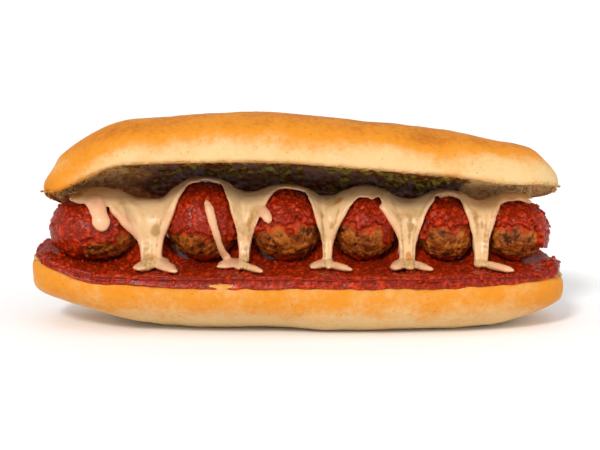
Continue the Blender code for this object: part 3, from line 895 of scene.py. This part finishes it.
def scatter(name, ground, material, slot, **inputs):
    """A piece made of bits strewn over the ground by the node tree."""
    carrier = bpy.data.objects.new("carrier", ground)
    bpy.context.scene.collection.objects.link(carrier)
    tree = scatter_tree()
    modifier = carrier.modifiers.new("bits", "NODES")
    modifier.node_group = tree
    identifiers = {item.name: item.identifier for item in tree.interface.items_tree if item.in_out == "INPUT"}
    for socket, value in {**inputs, "Material": material}.items():
        modifier[identifiers[socket]] = value
    mesh = apply_modifiers(carrier, name)
    return place_piece(name, mesh, material, slot)


# ---- operators ----

def settings():
    return bpy.context.scene.sandwich


def shared(build_material, *groups):
    """A material that several pieces share, made once."""
    name = {"bread_material": "Bread", "sauce_material": "Tomato sauce",
            "meat_material": "Browned meat"}.get(build_material.__name__)
    return bpy.data.materials.get(name) or build_material(*groups)


def edge_distance(points, edge_turns):
    """How far each point of a half roll's rings is from the nearer cut edge of its own ring."""
    front, back = (points[:, index][:, None] for index in edge_turns)
    return np.minimum(np.linalg.norm(points - front, axis=-1), np.linalg.norm(points - back, axis=-1))


class SANDWICH_OT_bottom_bun(Operator):
    """Builds the bottom half of the roll"""

    bl_idname = "sandwich.bottom_bun"
    bl_label = "Bottom Half"

    def execute(self, context):
        bread = settings().bread
        along, turn = roll_grid(340, 190)
        points = heel_points(along, turn)
        on_top = np.sin(turn) >= 0.0
        gap = edge_distance(points, (0, 95))
        cut = 0.5 + 0.5 * np.tanh(np.where(on_top, 1.0, -1.0) * gap / (0.5 * MM))
        depth = np.clip((heel_rim(points[..., 0]) - points[..., 2]) / HEEL_HEIGHT, 0.0, 1.0)
        uneven = bumps(points, 26.0 * MM, 3.0)
        ends = smooth(np.abs(points[..., 0]), 84.0 * MM, 116.0 * MM)
        bake = 0.50 + 0.12 * uneven + 0.10 * ends - 0.42 * smooth(depth + 0.10 * uneven, 0.30, 0.92)
        toast = np.full(points.shape[:2], 0.3)
        wide = plan_width(along, HEEL_BLUNT)
        mesh = bake_half("heel", points, wide, cut, gap, bake, 0.0 * gap, bread, 11.0)
        paint(mesh, toast=with_poles(toast))
        place_piece("heel", mesh, shared(bread_material, bread), "bread", "bottom_bun")
        return {"FINISHED"}


class SANDWICH_OT_top_bun(Operator):
    """Builds the top half of the roll, tipped back so that the filling shows"""

    bl_idname = "sandwich.top_bun"
    bl_label = "Top Half"

    def execute(self, context):
        bread = settings().bread
        along, turn = roll_grid(340, 190)
        x, y, z, half, rise = crown_section(along, turn)
        wide = plan_width(along, CROWN_BLUNT)
        points = tip_back(x, y, z, wide)
        on_top = np.sin(turn) >= 0.0
        gap = edge_distance(points, (0, 95))
        cut = 0.5 + 0.5 * np.tanh(np.where(on_top, -1.0, 1.0) * gap / (0.5 * MM))
        height = np.clip(z / CROWN_HEIGHT, 0.0, 1.0)
        uneven = bumps(points, 24.0 * MM, 5.0)
        tips = smooth(np.abs(x), 88.0 * MM, 114.0 * MM)
        bake = 0.06 + 0.74 * smooth(height + 0.10 * uneven, 0.10, 0.66) + 0.12 * uneven - 0.14 * tips * (1.0 - height)
        bake = bake + 0.85 * smooth(-x, 84.0 * MM, 110.0 * MM) * smooth(0.5 - height, 0.0, 0.35)
        scorched = np.exp(-(gap / (1.4 * MM)) ** 2) * (0.55 + 0.6 * bumps(points, 5.0 * MM, 6.0))
        bake = bake + np.where(on_top, 0.55 * scorched, 0.0)
        ragged = 0.16 * bumps(points, 9.0 * MM, 8.0)
        patchy = smooth(bumps(points, 14.0 * MM, 10.0), -0.25, 0.35)
        inner = smooth(gap / (10.0 * MM) + ragged, 0.25, 0.75)
        # The crumb under the top half, away from its cut edges, darkens here for sauce and herb stains and for
        # painted shade; the toast below also takes a share of it.
        stain = inner * smooth(x, -92.0 * MM, -48.0 * MM) * smooth(-x, -80.0 * MM, -66.0 * MM)
        left = smooth(-x, -78.0 * MM, -60.0 * MM)
        toast = 0.25 + 0.75 * np.exp(-gap / (4.0 * MM)) * left + 0.35 * stain
        toast = toast + 0.35 * smooth(-x, 40.0 * MM, 60.0 * MM) * (1.0 + bumps(points, 7.0 * MM, 9.0))
        mesh = bake_half("crown", points, wide, cut, gap, bake, stain, bread, 23.0)
        paint(mesh, toast=with_poles(toast), scatter_herbs=with_poles(patchy * stain * (cut > 0.5)),
              scatter_crumbs=with_poles((cut > 0.4) * (1.0 - stain) * smooth(np.abs(x), 76.0 * MM, 92.0 * MM)))
        place_piece("crown", mesh, shared(bread_material, bread), "bread", "top_bun")
        return {"FINISHED"}


class SANDWICH_OT_sauce_bed(Operator):
    """Builds the tomato sauce spread on the bottom half"""

    bl_idname = "sandwich.sauce_bed"
    bl_label = "Sauce Bed"

    def execute(self, context):
        sauce = settings().sauce
        polar = np.linspace(0.0, math.pi, 422)[1:-1][:, None]
        turn = (np.arange(150)[None, :] + 0.5) / 150 * 2.0 * math.pi
        turn = turn + 0.25 * np.sin(2.0 * turn)
        reach = np.sqrt(np.sin(polar))
        ring = 0.07 * math.pi + polar * BED_SHARE
        along = power(np.cos(ring), PLAN_SQUARE) + 0.0 * turn
        across = -np.cos(turn) + 0.0 * polar
        x = along * HEEL_LENGTH / 2
        ragged = 0.95 + 0.45 * wobble(x, across, 0.0, 15.0 * MM, 9.0)
        ragged += 0.28 * wobble(x, 4.0 * MM * across, 0.0, 5.0 * MM, 12.0)
        past = BED_LAP * ragged * reach ** 0.5 / (HEEL_HEIGHT * 2.2)
        swing = (math.pi / 2 + past) * across * np.minimum(1.0, 2.6 * reach)
        depth = BED_DEPTH * (0.9 + 0.18 * wobble(x, across * 30.0 * MM, 0.0, 13.0 * MM, 8.0))
        rounded = np.copysign(np.abs(np.sin(turn)) ** 0.7 * reach ** 0.5, np.sin(turn))
        grow = -BED_SOAK + (BED_SOAK + 0.35 * MM + depth) * (0.5 + 0.5 * rounded)
        points = heel_points(along, (math.pi / 2 + swing) % (2.0 * math.pi), grow)
        heap = smooth(x, 104.0 * MM, 111.0 * MM) * smooth(across, -0.4, 0.4)
        mounds = sum(
            height * np.exp(-((x - gap) / half) ** 2)
            for gap, (height, half) in zip(cheese_gaps(), MOUNDS)) * np.exp(-((points[..., 1] - 3.0 * MM) / (10.0 * MM)) ** 2)
        bank = BANK_HEIGHT * np.exp(-((points[..., 1] - 15.0 * MM) / (6.0 * MM)) ** 2) * smooth(reach, 0.2, 0.6)
        points[..., 2] += (BED_HEAP * heap + mounds + bank) * np.maximum(0.0, rounded)
        mesh = shell("sauce_spread", points)
        places = positions(mesh)
        lump, tone = grains(places, sauce.lump_size, 31.0, 0.85, 0.6)
        small, _ = grains(places, sauce.lump_size * 0.42, 32.0, 0.8, 0.6)
        broad = bumps(places, 11.0 * MM, 33.0)
        outer = with_poles(smooth(rounded, -0.2, 0.5))
        from_edge = with_poles((np.abs(swing) - math.pi / 2) * ROLL_WIDTH * 0.35 + 0.0 * x)
        relief = sauce.lump_height * (0.9 * lump * tone + 0.3 * small - 0.55) + 0.6 * MM * broad
        swell(mesh, (relief - BED_ROUND * np.exp(-(from_edge / (4.5 * MM)) ** 2)) * outer)
        # This lump layer sets the sauce's painted shade in the hollows and painted highlight on the tops.
        high = np.clip(0.62 * lump * tone + 0.38 * small, 0.0, 1.0)
        paint(mesh, lump=high, thin=np.ones(len(high)), scatter=outer)
        place_piece("sauce_spread", mesh, shared(sauce_material, sauce), "tomato_sauce", "sauce_bed")
        return {"FINISHED"}


def sauce_edge(index, directions):
    """How far down a meatball its sauce comes in each direction round it, as an angle from its top."""
    x, y, z = directions.T
    turn = np.arctan2(y, x)
    beside = np.cos(turn) ** 2
    if index == 0:
        beside = np.where(x < 0.0, 0.0, beside)
    if index == len(MEATBALLS) - 1:
        beside = np.where(x > 0.0, 0.0, beside)
    edge = SAUCE_REACH[index] - math.radians(14.0) * beside
    for ball, middle, half, more in TONGUES:
        if ball == index:
            off = np.abs((turn - middle + math.pi) % (2.0 * math.pi) - math.pi)
            edge = edge + more * (1.0 - smooth(off, 0.35 * half, 1.3 * half))
    place = np.stack([x + 9.0 * index, y, z], axis=-1)
    return edge + math.radians(17.0) * bumps(place, 0.42, 4.0) + math.radians(13.0) * bumps(place, 0.17, 5.0)


class SANDWICH_OT_meatballs(Operator):
    """Builds the meatballs and the sauce spooned over them"""

    bl_idname = "sandwich.meatballs"
    bl_label = "Meatballs"

    def execute(self, context):
        meat, sauce = settings().meat, settings().sauce
        directions, faces = ball_directions(6)
        polar = np.arccos(np.clip(directions[:, 2], -1.0, 1.0))
        for index, ball in enumerate(MEATBALLS):
            seed = 50.0 + 5.0 * index
            bare = ball_surface(ball, directions, 0.0 * polar)
            edge = sauce_edge(index, directions)

            grain, tone = grains(bare, meat.grain_size, seed, 0.5, 0.9)
            small, _ = grains(bare, meat.grain_size * 0.38, seed + 1.0, 0.6, 0.9)
            broad = bumps(bare, 8.0 * MM, seed + 2.0)
            rough = bumps(bare, 3.2 * MM, seed + 8.0) + 0.6 * bumps(bare, 1.4 * MM, seed + 9.0)
            # crease is low in the crevices between grains, where the material paints shade.
            crease = np.clip(0.30 + 0.35 * grain + 0.20 * small + 0.55 * rough, 0.0, 1.0)
            relief = meat.grain_height * (0.5 * grain * tone + 0.2 * small + 0.45 * rough - 0.5) + 0.5 * MM * broad
            mesh = add_mesh(f"meat_{index + 1}", ball_surface(ball, directions, relief), faces)
            near_sauce = 1.0 - smooth(polar - edge, 0.0, math.radians(16.0))
            low = smooth(polar, math.radians(128.0), math.radians(150.0))
            # Towards the underside crease is lowered, so the painted shade there grows darker.
            paint(mesh, crease=crease * (1.0 - 0.7 * low), tone=tone, wet=np.maximum(near_sauce, 0.8 * low))
            place_piece(f"meat_{index + 1}", mesh, shared(meat_material, meat, sauce), "browned_meat",
                        f"meatball_{index + 1}")

            lump, pulp = grains(bare, sauce.lump_size * 0.95, seed + 3.0, 0.85, 0.6)
            seeds, _ = grains(bare, sauce.lump_size * 0.42, seed + 4.0, 0.8, 0.6)
            cover = smooth(edge - polar, math.radians(-4.0), math.radians(5.0))
            lip = np.exp(-((edge - polar - math.radians(7.0)) / math.radians(8.0)) ** 2)
            depth = CAP_TOUCH + CAP_DEPTH * (0.75 + 0.3 * bumps(bare, 9.0 * MM, seed + 5.0)) + 0.5 * MM * lip
            depth = depth + sauce.lump_height * (0.85 * lump * pulp + 0.3 * seeds - 0.5)
            height = -2.8 * MM + cover * (2.8 * MM + depth)
            mesh = add_mesh(f"spooned_sauce_{index + 1}", ball_surface(ball, directions, height), faces)
            # This lump layer sets the sauce's painted shade in the hollows and painted highlight on the tops.
            high = np.clip(0.62 * lump * pulp + 0.38 * seeds, 0.0, 1.0)
            paint(mesh, lump=high, thin=np.full(len(high), 0.45), scatter=cover)
            place_piece(f"spooned_sauce_{index + 1}", mesh, shared(sauce_material, sauce), "tomato_sauce",
                        f"sauce_cap_{index + 1}")
        return {"FINISHED"}


def curtain_place(x, rise):
    """Where a point lies across its curtain, -1 to 1 at the sides, and which curtain that is."""
    gaps = np.array(cheese_gaps())
    which = np.abs(np.asarray(x)[..., None] - gaps).argmin(axis=-1)
    reach = np.array(CURTAINS)[which]
    side = np.where(x < gaps[which], reach[..., 1], reach[..., 2])
    up = np.clip((rise - CHEESE_FOOT) / (math.radians(70.0) - CHEESE_FOOT), 0.0, 1.0)
    return (x - gaps[which]) / (reach[..., 0] + (side - reach[..., 0]) * up ** (1.0 / CHEESE_FUNNEL)), which


def cheese_sheet(cheese):
    """The sheet of cheese as a grid: round each row, its outside from front to back and its inside again."""
    fine = np.linspace(CHEESE_LEFT + 0.2 * MM, CHEESE_RIGHT - 0.2 * MM, 6000)
    front = cheese_edge(fine, CHEESE_FOOT, cheese_brow(fine))
    step = np.hypot(np.diff(fine), 17.0 * MM * np.diff(front))
    run = np.concatenate([[0.0], np.cumsum(step)])
    x = np.interp(np.linspace(0.0, run[-1], 560), run, fine)[:, None]
    turn = np.arange(180)[None, :] / 180 * 2.0 * math.pi
    reach = np.minimum(1.0, np.minimum(x - CHEESE_LEFT, CHEESE_RIGHT - x) / (9.0 * MM)) ** 0.6
    waver = math.radians(11.0) * wobble(x, 0.0, 0.0, 7.0 * MM, 41.0)
    waver += math.radians(6.0) * wobble(x, 0.0, 0.0, 2.8 * MM, 42.0)
    front = cheese_edge(x, CHEESE_FOOT, cheese_brow(x) + waver)
    back = math.pi - cheese_edge(x, CHEESE_FOOT * 0.6, math.radians(58.0) - waver)
    rise = (front + back) / 2 + (back - front) / 2 * reach * np.cos(turn)
    x = x + 0.0 * turn
    across, which = curtain_place(x, np.minimum(rise, math.pi - rise))
    rounded = np.copysign(np.abs(np.sin(turn)) ** 0.5 * reach, np.sin(turn))
    depth = cheese.depth * (0.5 + 0.5 * rounded)
    outer = np.maximum(0.0, rounded)
    folds = wobble(across * 1.9, which * 3.7, rise * 0.5, 1.0, 43.0) * smooth(1.25 - np.abs(across), 0.0, 0.4)
    hang = smooth(-rise, -0.9, 0.1)
    depth = depth + outer * (0.45 * MM * wobble(x, rise * 17.0 * MM, 0.0, 9.0 * MM, 44.0) + 1.3 * MM * folds * hang)
    depth = depth + outer * CHEESE_TOE * smooth(-rise, -CHEESE_FOOT * 0.3, -CHEESE_FOOT * 0.8)
    radius = cheese_reach(x, rise) + depth
    low = (AXIS_HEIGHT - BED_TOP - 0.9 * MM) / np.maximum(np.sin(-rise), 0.05)
    return wrap(x, rise, np.where(rise < 0.0, np.minimum(radius, low), radius))


def cheese_strand(stops):
    """A strand that lies over the meatballs, through points of (x, angle up from the front, half width)."""
    stops = np.array(stops) * (MM, math.pi / 180.0, MM)
    count = 12 * len(stops)
    places = np.linspace(0.0, len(stops) - 1.0, count)
    x, rise, half = (np.interp(places, np.arange(len(stops)), column) for column in stops.T)
    for _ in range(6):
        x[1:-1], rise[1:-1] = (0.25 * (line[:-2] + line[2:]) + 0.5 * line[1:-1] for line in (x, rise))
    line = wrap(x, rise, cheese_reach(x, rise))
    run = np.concatenate([[0.0], np.cumsum(np.linalg.norm(np.diff(line, axis=0), axis=1))])
    half = half * (1.0 + 0.22 * wobble(run, x[0], rise[0], 4.0 * MM, 53.0))
    middle = wrap(x, rise, cheese_reach(x, rise) + 0.2 * half + 0.2 * MM - 1.6 * MM * np.exp(-run / (5.0 * MM)))
    to_end = np.minimum(run, run[-1] - run) / half
    ends = np.sqrt(np.maximum(0.03, 1.0 - np.maximum(0.0, 1.0 - to_end) ** 2))
    forward = np.gradient(middle, axis=0)
    forward /= np.linalg.norm(forward, axis=1)[:, None]
    out = np.stack([0.0 * x, -np.cos(rise), np.sin(rise)], axis=-1)
    out -= np.einsum("ij,ij->i", out, forward)[:, None] * forward
    out /= np.linalg.norm(out, axis=1)[:, None]
    side = np.cross(forward, out)
    turn = np.arange(16) / 16 * 2.0 * math.pi
    across = (half * ends)[:, None, None] * side[:, None] * np.cos(turn)[None, :, None]
    thick = (ends * (0.32 * half + 0.65 * MM))[:, None, None] * out[:, None] * np.sin(turn)[None, :, None]
    return middle[:, None] + across + thick


def curtain_ropes():
    """The thick edges of each curtain, front and back, as the stops of strands."""
    ropes = []
    for number, (gap, curtain) in enumerate(zip(cheese_gaps(), CURTAINS)):
        neck = curtain[0]
        half = 0.8 * MM + 0.22 * neck
        for side, shoulder in ((-1.0, curtain[1]), (1.0, curtain[2])):
            brow = float(cheese_brow(np.array(gap + side * shoulder)))
            rise = np.linspace(CHEESE_FOOT * 0.97, brow * 0.93, 11)
            share = (rise - CHEESE_FOOT) / (brow - CHEESE_FOOT)
            away = share ** (1.0 / CHEESE_FUNNEL)
            x = gap + side * (neck - 0.75 * half + (shoulder - neck) * away)
            x = x + 0.8 * MM * wobble(rise * 1.6, 3.0 * number + side, 0.0, 1.0, 51.0)
            girth = half * (1.0 + 0.35 * wobble(rise * 2.2, 5.0 * number + side, 0.0, 1.0, 52.0))
            girth = girth * (1.0 - 0.45 * smooth(rise, 0.5, 1.2))
            front = np.stack([x / MM, np.degrees(rise), girth / MM], axis=-1)
            behind = front[rise > CHEESE_FOOT * 0.55]
            ropes.append(front)
            ropes.append(behind * (1.0, -1.0, 1.0) + (0.0, 180.0, 0.0))
    return ropes


def cheese_foot(x, y, half_x, half_y, depth, heading):
    """A lobe of cheese that lies on the sauce, thin at its edges, turned towards the right by its heading."""
    polar = np.linspace(0.0, math.pi, 22)[1:-1][:, None]
    turn = np.arange(28)[None, :] / 28 * 2.0 * math.pi
    across = half_x * np.sin(polar) * np.cos(turn)
    ahead = half_y * np.cos(polar) + 0.0 * turn
    heading = math.radians(heading)
    uneven = 1.0 + 0.2 * wobble(x + across, y + ahead, 0.0, 4.0, 54.0)
    return MM * np.stack([
        x + uneven * (across * math.cos(heading) - ahead * math.sin(heading)),
        y + uneven * (across * math.sin(heading) + ahead * math.cos(heading)),
        BED_TOP / MM + 0.8 + depth * np.sin(polar) * power(np.sin(turn), 1.3),
    ], axis=-1)


class SANDWICH_OT_cheese(Operator):
    """Builds the melted cheese: one sheet with its curtains, strands, drips and feet"""

    bl_idname = "sandwich.cheese"
    bl_label = "Cheese"

    def execute(self, context):
        cheese = settings().cheese
        grids = [cheese_sheet(cheese)]
        grids += [cheese_strand(stops) for stops in STRANDS + curtain_ropes()]
        grids += [cheese_foot(*foot) for foot in FEET]
        body = bmesh.new()
        for grid in grids:
            part = shell("part", grid)
            body.from_mesh(part)
            bpy.data.meshes.remove(part)
        joined = bpy.data.meshes.new("joined")
        body.to_mesh(joined)
        body.free()
        carrier = bpy.data.objects.new("carrier", joined)
        bpy.context.scene.collection.objects.link(carrier)
        knit = carrier.modifiers.new("knit", "REMESH")
        knit.mode = "VOXEL"
        knit.voxel_size = cheese.voxel
        mesh = apply_modifiers(carrier, "cheese_melt")
        mesh.shade_smooth()
        relax(mesh, 3)
        points = positions(mesh)
        rise = np.arctan2(points[:, 2] - AXIS_HEIGHT, -points[:, 1])
        rise = np.where(rise < -math.pi / 2, rise + 2.0 * math.pi, rise)
        x = points[:, 0]
        across, which = curtain_place(x, np.minimum(rise, math.pi - rise))
        lines = wobble(across * 5.0, which * 3.7, rise * 0.9, 1.0, 45.0)
        lines += 0.5 * bumps(points, 2.4 * MM, 46.0)
        swell(mesh, cheese.crease * lines * smooth(1.3 - np.abs(across), 0.0, 0.5))
        front = cheese_edge(x, CHEESE_FOOT, cheese_brow(x))
        inside = (np.minimum(rise, math.pi - rise) - front) * 17.0 * MM
        side = (1.0 - np.abs(across)) * 4.0 * MM
        near_edge = np.exp(-np.maximum(0.0, np.minimum(inside, np.where(rise < 0.6, side, inside))) / (1.6 * MM))
        thin, oil = np.zeros(len(x)), np.zeros(len(x))
        for place, angle, half, half_angle, oily in PATCHES:
            away = np.hypot((x - place * MM) / (half * MM), (rise - math.radians(angle)) / math.radians(half_angle))
            away = away + 0.45 * bumps(points, 2.0 * MM, 47.0)
            spot = 1.0 - smooth(away, 0.2, 1.5)
            thin = np.maximum(thin, spot)
            oil = np.maximum(oil, spot * oily)
        hanging = smooth(1.1 - np.abs(across), 0.0, 0.5) * smooth(math.radians(58.0) - rise, 0.0, 0.5)
        streaks = wobble(across * 3.0, which * 5.1, rise * 0.7, 1.0, 49.0) + 0.35 * bumps(points, 1.8 * MM, 50.0)
        thin = np.maximum(thin, 0.75 * hanging * smooth(streaks, -0.05, 0.5))
        thin = np.maximum(thin, 0.5 * smooth(bumps(points, 9.0 * MM, 55.0), 0.15, 0.5))
        blush = 0.8 * near_edge + 0.3 * smooth(bumps(points, 7.0 * MM, 48.0), -0.1, 0.6)
        paint(mesh, thin=thin, oil=oil, blush=blush)
        place_piece("cheese_melt", mesh, cheese_material(cheese), "melted_cheese", "cheese")
        return {"FINISHED"}


class SANDWICH_OT_toppings(Operator):
    """Strews bits of tomato and herbs over the sauce, and herbs and crumbs under the top half"""

    bl_idname = "sandwich.toppings"
    bl_label = "Bits and Herbs"

    def execute(self, context):
        bread, sauce = settings().bread, settings().sauce
        names = ["sauce_spread"] + [f"spooned_sauce_{index + 1}" for index in range(len(MEATBALLS))]
        weights = [stored(name, "scatter") for name in names]
        pulp = bit_material("Tomato bits", sauce.deep, sauce.red, 0.3)
        scatter("tomato_bits", scatter_ground(names, weights), pulp, "tomato_sauce",
                Density=sauce.bits, Smallest=(0.5 * MM,) * 3, Largest=(1.5 * MM, 1.2 * MM, 0.9 * MM),
                Lumpiness=1.1, Divisions=2, Seed=4)
        green = bit_material("Herb flecks", (0.012, 0.010, 0.003), (0.06, 0.05, 0.012), 0.55)
        scatter("herb_flecks", scatter_ground(names, weights), green, "tomato_sauce",
                Density=sauce.herbs, Smallest=(0.12 * MM, 0.12 * MM, 0.08 * MM),
                Largest=(0.5 * MM, 0.35 * MM, 0.3 * MM), Lumpiness=0.8, Divisions=1, Seed=9)
        olive = bit_material("Herb lumps", (0.11, 0.028, 0.004), (0.17, 0.145, 0.016), 0.6)
        scatter("herb_lumps", scatter_ground(["crown"], [stored("crown", "scatter_herbs")]), olive, "bread",
                Density=52000.0, Smallest=(0.8 * MM,) * 3, Largest=(3.0 * MM, 2.4 * MM, 1.5 * MM),
                Lumpiness=1.2, Divisions=2, Seed=14)
        crumb = bit_material("Crumbs", bread.crumb, bread.golden, 0.75)
        scatter("crumbs", scatter_ground(["crown"], [stored("crown", "scatter_crumbs")]), crumb, "bread",
                Density=90000.0, Smallest=(0.25 * MM,) * 3, Largest=(0.7 * MM,) * 3,
                Lumpiness=1.2, Divisions=1, Seed=21)
        return {"FINISHED"}


def stored(name, layer_name):
    """The numbers that paint stored on a piece."""
    mesh = bpy.data.objects[name].data
    values = np.empty(len(mesh.vertices))
    mesh.attributes[layer_name].data.foreach_get("value", values)
    return values


class SANDWICH_OT_stage(Operator):
    """Lays the floor and sets the lights and the camera"""

    bl_idname = "sandwich.stage"
    bl_label = "Stage"

    def execute(self, context):
        stage = settings().stage
        scene = context.scene
        reach = 4.0
        mesh = bpy.data.meshes.new("floor")
        mesh.from_pydata([(-reach, -reach, 0.0), (reach, -reach, 0.0), (reach, reach, 0.0), (-reach, reach, 0.0)],
                         [], [(0, 1, 2, 3)])
        floor = bpy.data.objects.new("floor", mesh)
        scene.collection.objects.link(floor)
        material, _, shader = new_material("Floor")
        shader.inputs["Base Color"].default_value = (*stage.floor, 1.0)
        shader.inputs["Roughness"].default_value = 0.9
        shader.inputs["Specular IOR Level"].default_value = 0.1
        mesh.materials.append(material)

        world = bpy.data.worlds.new("studio")
        world.use_nodes = True
        air = world.node_tree.nodes["Background"]
        air.inputs["Color"].default_value = (1.0, 1.0, 1.0, 1.0)
        tree = world.node_tree
        direction = add_node(tree, "ShaderNodeTexCoord").outputs["Generated"]
        depth = add_node(tree, "ShaderNodeSeparateXYZ", {"Vector": direction}).outputs["Y"]
        tree.links.new(spread(tree, depth, -0.4, 0.7, stage.air, stage.air_behind), air.inputs["Strength"])
        scene.world = world
        scene.view_settings.view_transform = "Standard"

        middle = Vector((0.0008, 0.0, 0.0435))
        key = bpy.data.lights.new("key", "SUN")
        key.energy = stage.key
        key.angle = stage.softness
        fill = bpy.data.lights.new("fill", "AREA")
        fill.shape = "SQUARE"
        fill.size = 0.6
        fill.energy = stage.fill
        for lamp, place in ((key, (-0.36, -0.90, 0.75)), (fill, (0.8, -0.6, 0.35))):
            light = bpy.data.objects.new(lamp.name, lamp)
            light.location = place
            light.rotation_euler = (middle - light.location).to_track_quat("-Z", "Y").to_euler()
            scene.collection.objects.link(light)

        eye = bpy.data.cameras.new("camera")
        eye.lens = 100.0
        eye.sensor_width = 36.0
        camera = bpy.data.objects.new("camera", eye)
        away = Vector((0.0, -math.cos(stage.elevation), math.sin(stage.elevation)))
        camera.location = middle + stage.distance * away
        camera.rotation_euler = (middle - camera.location).to_track_quat("-Z", "Y").to_euler()
        scene.collection.objects.link(camera)
        scene.camera = camera
        return {"FINISHED"}


class SandwichSettings(PropertyGroup):
    """All the settings of the sandwich."""

    bread: PointerProperty(type=BreadSettings, name="Bread", description="The roll")
    sauce: PointerProperty(type=SauceSettings, name="Sauce", description="The tomato sauce")
    meat: PointerProperty(type=MeatSettings, name="Meat", description="The meatballs")
    cheese: PointerProperty(type=CheeseSettings, name="Cheese", description="The melted cheese")
    stage: PointerProperty(type=StageSettings, name="Stage", description="Floor, lights and camera")


STEPS = (
    SANDWICH_OT_bottom_bun, SANDWICH_OT_top_bun, SANDWICH_OT_sauce_bed, SANDWICH_OT_meatballs,
    SANDWICH_OT_cheese, SANDWICH_OT_toppings, SANDWICH_OT_stage,
)


class SANDWICH_PT_panel(Panel):
    """Lists the steps that build the sandwich"""

    bl_idname = "SANDWICH_PT_panel"
    bl_label = "Submarine Sandwich"
    bl_space_type = "VIEW_3D"
    bl_region_type = "UI"
    bl_category = "Sandwich"

    def draw(self, context):
        for step in STEPS:
            self.layout.operator(step.bl_idname)


CLASSES = (
    BreadSettings, SauceSettings, MeatSettings, CheeseSettings, StageSettings, SandwichSettings,
    *STEPS, SANDWICH_PT_panel,
)


def register():
    for item in CLASSES:
        bpy.utils.register_class(item)
    bpy.types.Scene.sandwich = PointerProperty(type=SandwichSettings)


def unregister():
    del bpy.types.Scene.sandwich
    for item in reversed(CLASSES):
        bpy.utils.unregister_class(item)


def main():
    register()
    bpy.ops.sandwich.bottom_bun()
    bpy.ops.sandwich.top_bun()
    bpy.ops.sandwich.sauce_bed()
    bpy.ops.sandwich.meatballs()
    bpy.ops.sandwich.cheese()
    bpy.ops.sandwich.toppings()
    bpy.ops.sandwich.stage()


if __name__ == "__main__":
    main()
